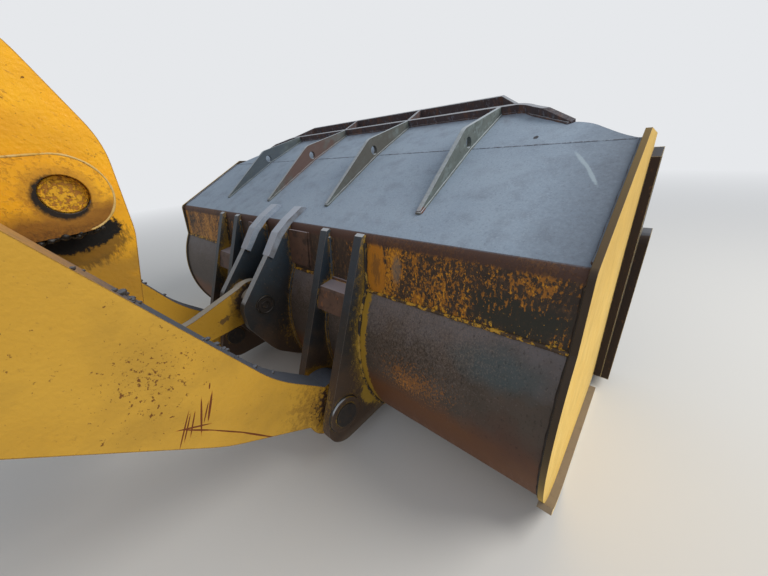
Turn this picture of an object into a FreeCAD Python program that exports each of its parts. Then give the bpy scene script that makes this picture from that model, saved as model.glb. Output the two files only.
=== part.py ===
import FreeCAD, Part
import math
import os
from types import SimpleNamespace
import Sketcher

# Wheel loader bucket with its lift arm linkage.
# Millimetres. +X is the machine's left, -Y is forward, +Z is up.
# The origin is the axis of the two arm feet, on the machine's centre line.

os.makedirs("parts", exist_ok=True)
doc = FreeCAD.newDocument("LoaderBucket")
V = FreeCAD.Vector

# Driving sizes: name, value, meaning
sizeTable = [
    ("hingeReach", 2350, "arm foot axis to bucket hinge, forward"),
    ("hingeDrop", 1780, "arm foot axis to bucket hinge, down"),
    ("pivotShare", 0.768, "share of the way from arm foot to hinge where the bellcrank pivot stands"),
    ("pivotRise", 755, "bellcrank pivot above the line from foot to hinge"),
    ("linkPinAhead", 29, "bucket hinge to front link pin, forward"),
    ("linkPinRise", 438, "bucket hinge to front link pin, up"),
    ("crankLowerBack", 179, "pivot to bellcrank's lower pin, rearward"),
    ("crankLowerDrop", 856, "pivot to bellcrank's lower pin, down"),
    ("crankUpperBack", 375, "pivot to tilt cylinder pin, rearward"),
    ("crankUpperRise", 704, "pivot to tilt cylinder pin, up"),
    ("liftPinShare", 0.45, "share of the way from arm foot to hinge of the lift cylinder pin"),
    ("liftPinRise", 26, "lift cylinder pin above that line"),
    ("tubeShare", 0.577, "share of the way from arm foot to hinge of the cross tube"),
    ("tubeRise", 419, "cross tube axis above that line"),
    ("tubeRadius", 180, "cross tube outside radius"),
    ("armInside", 550, "centre line to the arm's inner face"),
    ("armThickness", 140, "lift arm plate"),
    ("armUpperLean", 6.3580, "arm's upper edge ahead of its knee, steeper than the line from foot to hinge, degrees"),
    ("armLowerLean", 3.1420, "arm's lower edge ahead of its knee, flatter than that line, degrees"),
    ("armAbove", 91, "hinge axis to the arm's upper edge"),
    ("armBelow", 100, "hinge axis to the arm's lower edge"),
    ("armUpperKnee", 420, "hinge to the upper edge's knee"),
    ("armLowerKnee", 528, "hinge to the lower edge's knee"),
    ("elbowTopShare", 0.605, "share of the way from arm foot to hinge of the upper elbow"),
    ("elbowTopRise", 839, "upper elbow above that line"),
    ("elbowLowShare", 0.553, "share of the way from arm foot to hinge of the lower elbow"),
    ("elbowLowDrop", 33, "lower elbow below that line"),
    ("armFootHalf", 150, "half depth of the arm at its foot"),
    ("armFootRise", 27, "lean of the arm's square end at the foot, degrees"),
    ("armKneeRound", 700, "radius of the two knees"),
    ("armElbowRound", 420, "radius of the two elbows"),
    ("armTipRadius", 152, "arm's round end at the bucket hinge"),
    ("footBossRadius", 165, "boss round the arm foot bore"),
    ("liftBossRadius", 135, "boss round the lift cylinder bore"),
    ("bossProud", 18, "foot and lift cylinder bosses proud of the arm"),
    ("footBore", 60, "arm foot bore radius"),
    ("liftBore", 52, "lift cylinder bore radius"),
    ("bracketInside", 220, "centre line to the pivot bracket"),
    ("bracketThickness", 100, "pivot bracket plate"),
    ("bracketHalf", 122, "half depth of the pivot bracket"),
    ("pivotPinRadius", 60, "bellcrank pivot pin"),
    ("pivotPinRecess", 28, "pivot pin end inside the bracket face"),
    ("crankInside", 140, "centre line to the bellcrank plate"),
    ("crankThickness", 60, "bellcrank plate"),
    ("crankHubRadius", 112, "bellcrank hub"),
    ("crankTopRadius", 150, "bellcrank end round the tilt cylinder pin"),
    ("crankTipRadius", 130, "bellcrank end round the lower pin"),
    ("lowerPinProud", 14, "lower pin's ends proud of the bellcrank"),
    ("crankWebThickness", 40, "web between the bellcrank plates"),
    ("crankLowAhead", 148, "pivot to the bellcrank's lower front corner, forward"),
    ("crankLowDrop", 170, "pivot to the bellcrank's lower front corner, down"),
    ("crankMidAhead", 172, "pivot to the bellcrank's middle front corner, forward"),
    ("crankMidRise", 150, "pivot to the bellcrank's middle front corner, up"),
    ("crankHighAhead", 49, "pivot to the bellcrank's upper front corner, forward"),
    ("crankHighRise", 434, "pivot to the bellcrank's upper front corner, up"),
    ("crankWaist", 140, "pivot to the bellcrank's rear waist, rearward"),
    ("crankWaistRise", 60, "pivot to the bellcrank's rear waist, up"),
    ("crankRound", 300, "rounds on the bellcrank's outline"),
    ("webLowBack", 60, "pivot to the web's low end, rearward"),
    ("webLowDrop", 430, "pivot to the web's low end, down"),
    ("webHighBack", 215, "pivot to the web's high end, rearward"),
    ("webHighRise", 400, "pivot to the web's high end, up"),
    ("tiltBore", 50, "tilt cylinder bore radius"),
    ("linkPinRadius", 50, "tilt link pins"),
    ("linkHalf", 76, "half depth of the tilt link's bar"),
    ("linkThickness", 56, "tilt link's bar"),
    ("linkFlare", 330, "front eye to where the tilt link's bar starts to widen"),
    ("linkEyeRadius", 118, "tilt link's eyes"),
    ("linkHubRadius", 84, "hubs either side of the tilt link's front eye"),
    ("frontHubWidth", 220, "tilt link over its front hubs"),
    ("rearEyeWidth", 256, "tilt link's rear eye"),
    ("hingePinRadius", 62, "bucket hinge pin"),
    ("hingePinProud", 26, "hinge pin end proud of the ear"),
    ("collarRadius", 92, "collar round the hinge pin's end"),
    ("collarThickness", 16, "collar round the hinge pin's end"),
    ("bucketWidth", 3320, "outside of the side plates"),
    ("sidePlate", 20, "side plate thickness"),
    ("sheet", 25, "bucket sheet thickness"),
    ("bendAhead", 306, "hinge to the top sheet's bend, forward"),
    ("bendRise", 842, "hinge to the top sheet's bend, up"),
    ("topSlope", 25.75, "rise of the top sheet, degrees"),
    ("frontSlope", 21.75, "rise of the front plate, degrees"),
    ("bandLean", 8.4, "lean of the back band, degrees"),
    ("bandDepth", 260, "back band, bend to seam"),
    ("bendRound", 40, "round between top sheet and back band"),
    ("heelRadius", 680, "rolled heel's upper radius"),
    ("heelCentreDrop", 624, "bend to the heel's upper centre, down"),
    ("toeRadius", 350, "rolled heel's lower radius"),
    ("floorDrop", 1140, "bend to the floor's underside, down"),
    ("edgeReach", 1250, "bend to the cutting edge's tip, forward"),
    ("edgeDepth", 300, "cutting edge, tip to weld"),
    ("edgeThickness", 50, "cutting edge"),
    ("edgeNose", 12, "height of the cutting edge's blunt tip"),
    ("edgeBevel", 90, "length of the cutting edge's bevel"),
    ("foldDepth", 683, "top sheet, bend to the fold where the front plate starts"),
    ("hollowIn", 95, "front plate's hollow beside the side plate, across"),
    ("hollowAhead", 74, "the hollow, forward from the fold"),
    ("flankIn", 55, "straight run from the hollow to the shoulder, across"),
    ("flankAhead", 55, "that run, forward"),
    ("shoulderIn", 114, "front plate's round shoulder, across"),
    ("shoulderAhead", 71, "the shoulder, forward"),
    ("lipSlantIn", 211, "slanted end of the lip, across"),
    ("lipSlantAhead", 145, "slanted end of the lip, forward"),
    ("lipTurnIn", 113, "round between the slanted end and the straight lip, across"),
    ("lipTurnAhead", 62, "that round, forward"),
    ("shoulderRound", 225, "round of the front plate's shoulder"),
    ("hollowRound", 480, "hollow round between shoulder and side plate"),
    ("lipEndRound", 250, "round of the front plate where the lip turns back"),
    ("lipHeight", 42, "lip standing on the front plate"),
    ("lipThickness", 20, "lip strip"),
    ("lipFadeBack", 53, "where the lip starts to lose height, back along its slanted end"),
    ("lipBack", 15, "lip strip measured back from its slanted end, each way"),
    ("guardReach", 160, "spill guard ahead of the lip"),
    ("guardSlant", 140, "spill guard's front, shorter than the straight lip at each end"),
    ("guardHeight", 43, "spill guard's flange above the front plate"),
    ("guardThickness", 15, "spill guard plate"),
    ("gussetInset", 95, "end of the straight lip to the outer gusset"),
    ("gussetThickness", 22, "gusset plate"),
    ("gussetStart", 181, "bend to the gusset's low end"),
    ("gussetKinkBack", 8, "fold to the gusset's highest point and its hole, rearward"),
    ("gussetHeight", 112, "gusset's height at the kink"),
    ("gussetFoot", 12, "gusset's height at its low end"),
    ("gussetRound", 90, "round over the gusset's highest point"),
    ("gussetHole", 26, "radius of the gusset's hole"),
    ("gussetHoleRise", 40, "gusset's hole above the top sheet"),
    ("outerEar", 720, "centre line to the outer hinge ear"),
    ("innerEar", 470, "centre line to the inner hinge ear"),
    ("earThickness", 50, "hinge ear plate"),
    ("earRadius", 125, "hinge ear's round lower end"),
    ("earTipAhead", 16, "hinge to the middle of that round, forward"),
    ("earTipDrop", 58, "hinge to the middle of that round, down"),
    ("earHead", 34, "bend to the hinge ear's rear edge, rearward"),
    ("earBevel", 28, "bevel at the hinge ear's head"),
    ("earSink", 60, "how far the ears' and blocks' outlines start inside the sheets"),
    ("linkEar", 115, "centre line to the link ear"),
    ("linkEarThickness", 45, "link ear plate"),
    ("linkEarBulge", 127, "front link pin to the link ear's rear edge, rearward"),
    ("linkEarBulgeRise", 32, "front link pin to the upper end of that edge, up"),
    ("linkEarBulgeDrop", 96, "front link pin to the lower end of that edge, down"),
    ("linkEarTail", 13, "front link pin to the link ear's lower bend, rearward"),
    ("linkEarTailDrop", 318, "front link pin to the link ear's lower bend, down"),
    ("linkEarRound", 90, "smallest round of the link ear's rear edge"),
    ("linkEarFoot", 830, "bend to the link ear's low end, down"),
    ("capInside", 100, "centre line to the cap bar"),
    ("capWidth", 70, "cap bar"),
    ("capThickness", 30, "cap bar"),
    ("capReach", 140, "cap bar along the top sheet"),
    ("capTopBack", 74, "bend to the link ear's top, rearward"),
    ("capTopDrop", 57, "bend to the link ear's top, down"),
    ("capFootBack", 160, "bend to the cap bar's foot, rearward"),
    ("capFootDrop", 158, "bend to the cap bar's foot, down"),
    ("capNose", 10, "height of the cap bar's front end"),
    ("padWidth", 175, "pad plate on the band beside the link ear"),
    ("padDepth", 225, "bend to the pad plate's foot, down"),
    ("padThickness", 16, "pad plate"),
    ("stopDrop", 250, "bend to the stop block's top, down"),
    ("stopHeight", 120, "stop block"),
    ("stopDepth", 133, "stop block's top behind the bend"),
    ("stopSpread", 34, "stop block's foot behind its top"),
    ("stopBevel", 10, "bevel along the stop block's top"),
    ("sideTopStand", 12, "side plate proud of the top sheet"),
    ("sideHeelStand", 12, "side plate proud of the heel"),
    ("sideFrontReach", 1190, "bend to the side plate's front, forward"),
    ("sideCornerReach", 1080, "bend to the side plate's upper front corner, forward"),
    ("sideCornerRise", 288, "bend to the side plate's upper front corner, up"),
    ("cutterThickness", 40, "side cutter on the side plate"),
    ("cutterWidth", 250, "side cutter, front to rear"),
    ("cutterProud", 12, "side cutter ahead of the side plate's front"),
    ("guardPlate", 42, "corner guard on the side cutter"),
    ("guardWidth", 170, "corner guard, front to rear"),
    ("guardRise", 965, "corner guard above the floor"),
    ("guardTip", 55, "radius of the corner guard's upper end"),
    ("runnerProud", 34, "runner under the side plate, outside its face"),
    ("runnerStart", -33, "where the runner starts on the heel, degrees round its lower centre"),
    ("wearWidth", 400, "heel wear plate"),
    ("wearInset", 700, "centre line to the heel wear plate"),
    ("runnerThickness", 25, "runner beyond the side plate's edge"),
    ("runGap", 0.05, "radial clearance of a turning pin"),
    ("seatGap", 0.3, "gap at curved seats that are welded"),
]

sheetObject = doc.addObject("Spreadsheet::Sheet", "Sizes")
for row, (alias, value, meaning) in enumerate(sizeTable, start=1):
    sheetObject.set("A%d" % row, meaning)
    sheetObject.set("B%d" % row, str(value))
    sheetObject.setAlias("B%d" % row, alias)
doc.recompute()


class Term:
    """A size worked out from the sheet: its number and the formula that a property is bound to."""

    def __init__(self, value, text):
        self.value = value
        self.text = text

    def __add__(self, other):
        other = term(other)
        return Term(self.value + other.value, "(%s + %s)" % (self.text, other.text))

    def __sub__(self, other):
        other = term(other)
        return Term(self.value - other.value, "(%s - %s)" % (self.text, other.text))

    def __mul__(self, other):
        other = term(other)
        return Term(self.value * other.value, "(%s * %s)" % (self.text, other.text))

    def __truediv__(self, other):
        other = term(other)
        return Term(self.value / other.value, "(%s / %s)" % (self.text, other.text))

    def __neg__(self):
        return Term(-self.value, "(0 - %s)" % self.text)

    __radd__ = __add__
    __rmul__ = __mul__


def term(number):
    return number if isinstance(number, Term) else Term(float(number), "%.6f" % number)


def root(number):
    return Term(math.sqrt(number.value), "sqrt(%s)" % number.text)


def cosine(degrees):
    degrees = term(degrees)
    return Term(math.cos(math.radians(degrees.value)), "cos(%s)" % degrees.text)


def sine(degrees):
    degrees = term(degrees)
    return Term(math.sin(math.radians(degrees.value)), "sin(%s)" % degrees.text)


size = SimpleNamespace(**{alias: Term(float(value), "Sizes." + alias) for alias, value, _ in sizeTable})


# Points in the side view are (y, z) pairs of terms
def point(y, z):
    return (term(y), term(z))


def moved(base, back, up):
    return (base[0] + back, base[1] + up)


def polar(base, radius, degrees):
    return (base[0] + cosine(degrees) * radius, base[1] + sine(degrees) * radius)


def along(base, degrees, run, side):
    """From base, run forward along a direction, then side to its left."""
    return (base[0] + cosine(degrees) * run - sine(degrees) * side,
            base[1] + sine(degrees) * run + cosine(degrees) * side)


foot = point(0, 0)
hinge = point(-size.hingeReach, -size.hingeDrop)


def partWay(share, rise):
    """A share of the way from the arm's foot to the hinge, then rise above that line."""
    return (hinge[0] * share, hinge[1] * share + rise)


pivot = partWay(size.pivotShare, size.pivotRise)
liftPin = partWay(size.liftPinShare, size.liftPinRise)
tubeAxis = partWay(size.tubeShare, size.tubeRise)
linkFront = moved(hinge, -size.linkPinAhead, size.linkPinRise)
linkRear = moved(pivot, size.crankLowerBack, -size.crankLowerDrop)
crankTop = moved(pivot, size.crankUpperBack, size.crankUpperRise)
bend = moved(hinge, -size.bendAhead, size.bendRise)


def onTop(depth, stand):
    """A point on the top sheet's plane, depth ahead of the bend and stand above it."""
    return (bend[0] - cosine(size.topSlope) * depth + sine(size.topSlope) * stand,
            bend[1] + sine(size.topSlope) * depth + cosine(size.topSlope) * stand)


def onFront(depth, stand):
    """A point on the front plate's plane, depth ahead of the bend and stand above it."""
    fold = onTop(size.foldDepth, 0)
    reach = size.foldDepth - depth
    return (fold[0] + cosine(size.frontSlope) * reach + sine(size.frontSlope) * stand,
            fold[1] - sine(size.frontSlope) * reach + cosine(size.frontSlope) * stand)


def onBand(depth, stand):
    """A point on the back band's plane, depth below the bend and stand behind it."""
    return (bend[0] + sine(size.bandLean) * depth + cosine(size.bandLean) * stand,
            bend[1] - cosine(size.bandLean) * depth + sine(size.bandLean) * stand)


# The bend's round runs this far along the top sheet and the band
bendRun = size.bendRound * cosine(size.topSlope + size.bandLean) / (sine(size.topSlope + size.bandLean) + 1)

# Centres of the rolled heel: the upper arc starts at the seam, the lower one ends on the floor
seam = onBand(size.bandDepth, 0)
heelDown = bend[1] - size.heelCentreDrop
heelCentre = (seam[0] - root(size.heelRadius * size.heelRadius
                             - (seam[1] - heelDown) * (seam[1] - heelDown)), heelDown)
floorLevel = bend[1] - size.floorDrop
arcStep = size.heelRadius - size.toeRadius
toeDown = floorLevel + size.toeRadius
toeCentre = (heelCentre[0] + root(arcStep * arcStep - (heelDown - toeDown) * (heelDown - toeDown)), toeDown)
edgeTip = bend[0] - size.edgeReach
edgeWeld = edgeTip + size.edgeDepth


def heelPoint(stand):
    """Where the two heel arcs meet, stand outside the sheet."""
    grow = (size.heelRadius + stand) / arcStep
    return (heelCentre[0] + (toeCentre[0] - heelCentre[0]) * grow,
            heelCentre[1] + (toeCentre[1] - heelCentre[1]) * grow)


def seamPoint(stand):
    """The start of the heel's upper arc, stand outside the sheet."""
    grow = (size.heelRadius + stand) / size.heelRadius
    return (heelCentre[0] + (seam[0] - heelCentre[0]) * grow,
            heelCentre[1] + (seam[1] - heelCentre[1]) * grow)


def originPlane(body, role):
    return [(feature, "") for feature in body.Origin.OriginFeatures if feature.Role == role]


def bindPoint(sketch, geometry, position, target):
    for kind, coordinate in (("DistanceX", target[0]), ("DistanceY", target[1])):
        index = sketch.addConstraint(Sketcher.Constraint(kind, -1, 1, geometry, position, coordinate.value))
        sketch.setExpression("Constraints[%d]" % index, coordinate.text)


def drawOutline(sketch, corners):
    """A closed outline. A corner is (a, b), or (a, b, radius, side) where an arc leads on to the next:
    side is 1 where it bulges to the left of the way on, and -1 to the right."""
    ends = []
    for corner, after in zip(corners, corners[1:] + corners[:1]):
        start = V(corner[0].value, corner[1].value, 0)
        end = V(after[0].value, after[1].value, 0)
        if len(corner) == 2:
            index = sketch.addGeometry(Part.LineSegment(start, end), False)
            ends.append((index, 1, 2))
        else:
            radius = corner[2].value
            chord = end - start
            normal = V(-chord.y, chord.x, 0).normalize() * corner[3]
            sagitta = radius - math.sqrt(radius ** 2 - (chord.Length / 2) ** 2)
            middle = start + chord / 2 + normal * sagitta
            clockwise = corner[3] > 0
            arc = Part.Arc(end, middle, start) if clockwise else Part.Arc(start, middle, end)
            index = sketch.addGeometry(arc, False)
            bound = sketch.addConstraint(Sketcher.Constraint("Radius", index, radius))
            sketch.setExpression("Constraints[%d]" % bound, corner[2].text)
            ends.append((index, 2, 1) if clockwise else (index, 1, 2))
    for place, (index, startEnd, farEnd) in enumerate(ends):
        bindPoint(sketch, index, startEnd, corners[place])
        after = ends[(place + 1) % len(ends)]
        sketch.addConstraint(Sketcher.Constraint("Coincident", index, farEnd, after[0], after[1]))


def drawCircle(sketch, centre, radius):
    index = sketch.addGeometry(Part.Circle(V(centre[0].value, centre[1].value, 0), V(0, 0, 1), radius.value), False)
    bindPoint(sketch, index, 3, centre)
    bound = sketch.addConstraint(Sketcher.Constraint("Radius", index, radius.value))
    sketch.setExpression("Constraints[%d]" % bound, radius.text)


def newSketch(body, name, low, role="YZ_Plane"):
    sketch = body.newObject("Sketcher::SketchObject", name)
    sketch.AttachmentSupport = originPlane(body, role)
    sketch.MapMode = "FlatFace"
    sketch.setExpression("AttachmentOffset.Base.z", term(low).text)
    return sketch


def pad(body, sketch, thickness):
    feature = body.newObject("PartDesign::Pad", "Pad")
    feature.Profile = sketch
    feature.setExpression("Length", term(thickness).text)
    doc.recompute()
    return feature


def pocket(body, sketch):
    """Cuts the sketch's outline out of the whole body, along +X."""
    before = body.Shape.Volume
    feature = body.newObject("PartDesign::Pocket", "Pocket")
    feature.Profile = sketch
    feature.Type = "ThroughAll"
    feature.Reversed = True
    doc.recompute()
    if body.Shape.Volume > before - 1:
        raise RuntimeError("a pocket in %s cut nothing" % body.Label)
    return feature


def roundEdges(body, rounds):
    """Fillets the edges that run along X through the given corners: (corner, radius) pairs."""
    for corner, radius in rounds:
        base = body.Tip
        names = []
        for number, edge in enumerate(base.Shape.Edges, start=1):
            ends = [vertex.Point for vertex in edge.Vertexes]
            if len(ends) == 2 and all(math.hypot(end.y - corner[0].value, end.z - corner[1].value) < 0.01
                                      for end in ends):
                names.append("Edge%d" % number)
        feature = body.newObject("PartDesign::Fillet", "Fillet")
        feature.Base = (base, names)
        feature.setExpression("Radius", term(radius).text)
        doc.recompute()


def plate(label, low, thickness, corners=None, rounds=(), discs=(), holes=(), cuts=()):
    """A plate cut to a side outline, from x = low. Discs are (centre, radius, low, thickness)."""
    body = doc.addObject("PartDesign::Body", label)
    body.Label = label
    if corners:
        outline = newSketch(body, "Outline", low)
        drawOutline(outline, corners)
        pad(body, outline, thickness)
        roundEdges(body, rounds)
    for centre, radius, discLow, discThickness in discs:
        disc = newSketch(body, "Disc", discLow)
        drawCircle(disc, centre, radius)
        pad(body, disc, discThickness)
    reach = term(low) - size.armThickness
    for cut in cuts:
        sketch = newSketch(body, "Cut", reach)
        drawOutline(sketch, cut)
        pocket(body, sketch)
    for centre, radius in holes:
        sketch = newSketch(body, "Hole", reach)
        drawCircle(sketch, centre, radius)
        pocket(body, sketch)
    return body


def pin(label, centre, radius, low, length):
    body = doc.addObject("PartDesign::Body", label)
    body.Label = label
    sketch = newSketch(body, "Section", low)
    drawCircle(sketch, centre, radius)
    pad(body, sketch, length)
    return body


def ring(label, centre, outer, inner, low, length):
    body = doc.addObject("PartDesign::Body", label)
    body.Label = label
    sketch = newSketch(body, "Section", low)
    drawCircle(sketch, centre, outer)
    drawCircle(sketch, centre, inner)
    pad(body, sketch, length)
    return body


def bothSides(inside, thickness):
    """The low faces of a plate on the machine's right, then on its left."""
    return (("right", -inside - thickness), ("left", inside))


# The bucket's outside, stand outside the sheets and closed through its mouth: what seats on it is cut by this
def bucketOutside(stand):
    return [onTop(size.foldDepth, stand),
            onTop(bendRun, stand) + (size.bendRound + stand, 1),
            onBand(bendRun, stand),
            seamPoint(stand) + (size.heelRadius + stand, 1),
            heelPoint(stand) + (size.toeRadius + stand, 1),
            (toeCentre[0], floorLevel - stand),
            (edgeWeld, floorLevel - stand)]


# Lift arms: knees and elbows by large rounds, a boss at the foot and at the lift cylinder's bore
armLine = Term(math.degrees(math.atan2(size.hingeDrop.value, size.hingeReach.value)),
               "(atan2(%s; %s) / 1deg)" % (size.hingeDrop.text, size.hingeReach.text))
armUpperRise = armLine + size.armUpperLean
armLowerRise = armLine - size.armLowerLean
armUpperTip = along(hinge, armUpperRise, 0, size.armAbove)
armUpperKnee = along(hinge, armUpperRise, size.armUpperKnee, size.armAbove)
armElbowTop = partWay(size.elbowTopShare, size.elbowTopRise)
armElbowLow = partWay(size.elbowLowShare, -size.elbowLowDrop)
armLowerKnee = along(hinge, armLowerRise, size.armLowerKnee, -size.armBelow)
armLowerTip = along(hinge, armLowerRise, 0, -size.armBelow)
armOutline = [armLowerTip, armLowerKnee, armElbowLow,
              along(foot, size.armFootRise, 0, -size.armFootHalf),
              along(foot, size.armFootRise, 0, size.armFootHalf),
              armElbowTop, armUpperKnee, armUpperTip]
armRounds = [(armElbowLow, size.armElbowRound), (armElbowTop, size.armElbowRound),
             (armUpperKnee, size.armKneeRound), (armLowerKnee, size.armKneeRound)]
for side, low in bothSides(size.armInside, size.armThickness):
    bossLow = low - size.bossProud
    bossLength = size.armThickness + size.bossProud * 2
    plate(side + "_lift_arm", low, size.armThickness, armOutline, rounds=armRounds,
          discs=[(foot, size.footBossRadius, bossLow, bossLength),
                 (liftPin, size.liftBossRadius, bossLow, bossLength),
                 (hinge, size.armTipRadius, low, size.armThickness)],
          holes=[(foot, size.footBore), (liftPin, size.liftBore), (hinge, size.hingePinRadius + size.runGap)])

# Cross tube between the arms, closed by them and left solid inside, and the two brackets that carry the bellcrank's pivot
pin("cross_tube", tubeAxis, size.tubeRadius, -size.armInside, size.armInside * 2)
bracketOutline = [moved(pivot, 0, -size.bracketHalf),
                  (tubeAxis[0], pivot[1] - size.bracketHalf),
                  (tubeAxis[0], pivot[1] + size.bracketHalf),
                  moved(pivot, 0, size.bracketHalf)]
for side, low in bothSides(size.bracketInside, size.bracketThickness):
    plate(side + "_pivot_bracket", low, size.bracketThickness, bracketOutline,
          discs=[(pivot, size.bracketHalf, low, size.bracketThickness)],
          holes=[(pivot, size.pivotPinRadius + size.seatGap), (tubeAxis, size.tubeRadius + size.seatGap)])
pinReach = size.bracketInside + size.bracketThickness - size.pivotPinRecess
pin("pivot_pin", pivot, size.pivotPinRadius, -pinReach, pinReach * 2)

# Bellcrank: two plates that end in the outer ends of the lower pin, a hub and a web
crankOutline = [polar(linkRear, size.crankTipRadius, 192),
                moved(pivot, -size.crankLowAhead, -size.crankLowDrop),
                moved(pivot, -size.crankMidAhead, size.crankMidRise),
                moved(pivot, -size.crankHighAhead, size.crankHighRise),
                polar(crankTop, size.crankTopRadius, 140),
                polar(crankTop, size.crankTopRadius, -35),
                moved(pivot, size.crankWaist, size.crankWaistRise),
                polar(linkRear, size.crankTipRadius, 8)]
crankRounds = [(crankOutline[corner], size.crankRound) for corner in (1, 2, 3, 6)]
lowerPinWidth = size.crankThickness + size.lowerPinProud
for (side, low), (_, pinLow) in zip(bothSides(size.crankInside, size.crankThickness),
                                    bothSides(size.crankInside, lowerPinWidth)):
    plate(side + "_bellcrank_plate", low, size.crankThickness, crankOutline, rounds=crankRounds,
          discs=[(crankTop, size.crankTopRadius, low, size.crankThickness),
                 (linkRear, size.crankTipRadius, low, size.crankThickness),
                 (linkRear, size.linkPinRadius, pinLow, lowerPinWidth)],
          holes=[(pivot, size.pivotPinRadius + size.runGap), (crankTop, size.tiltBore)])
ring("bellcrank_hub", pivot, size.crankHubRadius, size.pivotPinRadius + size.runGap,
     -size.crankInside, size.crankInside * 2)
webLow = moved(pivot, size.webLowBack, -size.webLowDrop)
webHigh = moved(pivot, size.webHighBack, size.webHighRise)
plate("bellcrank_web", -size.crankInside, size.crankInside * 2,
      [webLow, moved(webLow, size.crankWebThickness, 0), moved(webHigh, size.crankWebThickness, 0), webHigh])

# Tilt link: flared to its front eye, with a wide rear eye that has the middle of the lower pin in it
linkAngle = Term(math.degrees(math.atan2(linkRear[1].value - linkFront[1].value,
                                         linkRear[0].value - linkFront[0].value)),
                 "atan2(%s; %s)" % ((linkRear[1] - linkFront[1]).text, (linkRear[0] - linkFront[0]).text))
flareHalf = size.linkEyeRadius * 0.97
plate("tilt_link", -size.linkThickness / 2, size.linkThickness,
      [along(linkFront, linkAngle, 0, -flareHalf),
       along(linkFront, linkAngle, size.linkFlare, -size.linkHalf),
       along(linkRear, linkAngle, 0, -size.linkHalf), along(linkRear, linkAngle, 0, size.linkHalf),
       along(linkFront, linkAngle, size.linkFlare, size.linkHalf),
       along(linkFront, linkAngle, 0, flareHalf)],
      discs=[(linkFront, size.linkEyeRadius, -size.linkThickness / 2, size.linkThickness),
             (linkRear, size.linkEyeRadius, -size.rearEyeWidth / 2, size.rearEyeWidth),
             (linkFront, size.linkHubRadius, -size.frontHubWidth / 2, size.frontHubWidth)],
      holes=[(linkFront, size.linkPinRadius + size.runGap)])

# Bucket sheets
halfInside = size.bucketWidth / 2 - size.sidePlate
innerBend = sine(size.topSlope + size.bandLean) + 1
bendInside = (bend[0] - size.sheet * (sine(size.topSlope) + cosine(size.bandLean)) / innerBend,
              bend[1] - size.sheet * (cosine(size.topSlope) + sine(size.bandLean)) / innerBend)
plate("back_band", -halfInside, halfInside * 2,
      [onTop(bendRun, 0) + (size.bendRound, 1), onBand(bendRun, 0), seam,
       onBand(size.bandDepth, -size.sheet), bendInside, onTop(bendRun, -size.sheet)])
plate("heel_and_floor", -halfInside, halfInside * 2,
      [seamPoint(0) + (size.heelRadius, 1),
       heelPoint(0) + (size.toeRadius, 1),
       (toeCentre[0], floorLevel),
       (edgeWeld, floorLevel),
       (edgeWeld, floorLevel + size.sheet),
       (toeCentre[0], floorLevel + size.sheet, size.toeRadius - size.sheet, -1),
       heelPoint(-size.sheet) + (size.heelRadius - size.sheet, -1),
       seamPoint(-size.sheet),
       onBand(size.bandDepth, -size.sheet)])

# Top sheet, and the front plate that carries on from its fold at a lower slope
plate("top_sheet", -halfInside, halfInside * 2,
      [onTop(bendRun, 0), onTop(size.foldDepth, 0),
       onFront(size.foldDepth, -size.sheet / cosine(size.topSlope - size.frontSlope)),
       onTop(bendRun, -size.sheet)])


def onFrontPlane(body, name, stand):
    """A sketch in the front plate's plane, stand above it: x across, y rearward down the slope."""
    sketch = body.newObject("Sketcher::SketchObject", name)
    sketch.AttachmentSupport = originPlane(body, "XY_Plane")
    sketch.MapMode = "FlatFace"
    place = onFront(0, stand)
    sketch.setExpression("AttachmentOffset.Base.y", place[0].text)
    sketch.setExpression("AttachmentOffset.Base.z", place[1].text)
    sketch.AttachmentOffset = FreeCAD.Placement(V(0, place[0].value, place[1].value),
                                                FreeCAD.Rotation(V(1, 0, 0), -size.frontSlope.value))
    sketch.setExpression("AttachmentOffset.Rotation.Angle", "-1 * " + size.frontSlope.text)
    return sketch


# The front plate's outline on one side, from the side plate inwards and from the fold forward
hollowHalf = halfInside - size.hollowIn
hollowDepth = size.foldDepth + size.hollowAhead
shoulderEndHalf = hollowHalf - size.flankIn
shoulderEndDepth = hollowDepth + size.flankAhead
shoulderHalf = shoulderEndHalf - size.shoulderIn
shoulderDepth = shoulderEndDepth + size.shoulderAhead
lipTurnHalf = shoulderHalf - size.lipSlantIn
lipTurnDepth = shoulderDepth + size.lipSlantAhead
lipHalf = lipTurnHalf - size.lipTurnIn
topDepth = lipTurnDepth + size.lipTurnAhead
lipEdge = [(shoulderHalf, -shoulderDepth),
           (lipTurnHalf, -lipTurnDepth, size.lipEndRound, 1),
           (lipHalf, -topDepth),
           (-lipHalf, -topDepth, size.lipEndRound, 1),
           (-lipTurnHalf, -lipTurnDepth)]
frontPlate = doc.addObject("PartDesign::Body", "front_plate")
frontPlate.Label = "front_plate"
frontSketch = onFrontPlane(frontPlate, "Outline", -size.sheet)
drawOutline(frontSketch, [(halfInside, -size.foldDepth, size.hollowRound, -1),
                          (hollowHalf, -hollowDepth),
                          (shoulderEndHalf, -shoulderEndDepth, size.shoulderRound, 1)]
            + lipEdge + [
    (-shoulderHalf, -shoulderDepth, size.shoulderRound, 1),
    (-shoulderEndHalf, -shoulderEndDepth),
    (-hollowHalf, -hollowDepth, size.hollowRound, -1),
    (-halfInside, -size.foldDepth)])
pad(frontPlate, frontSketch, size.sheet)

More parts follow.
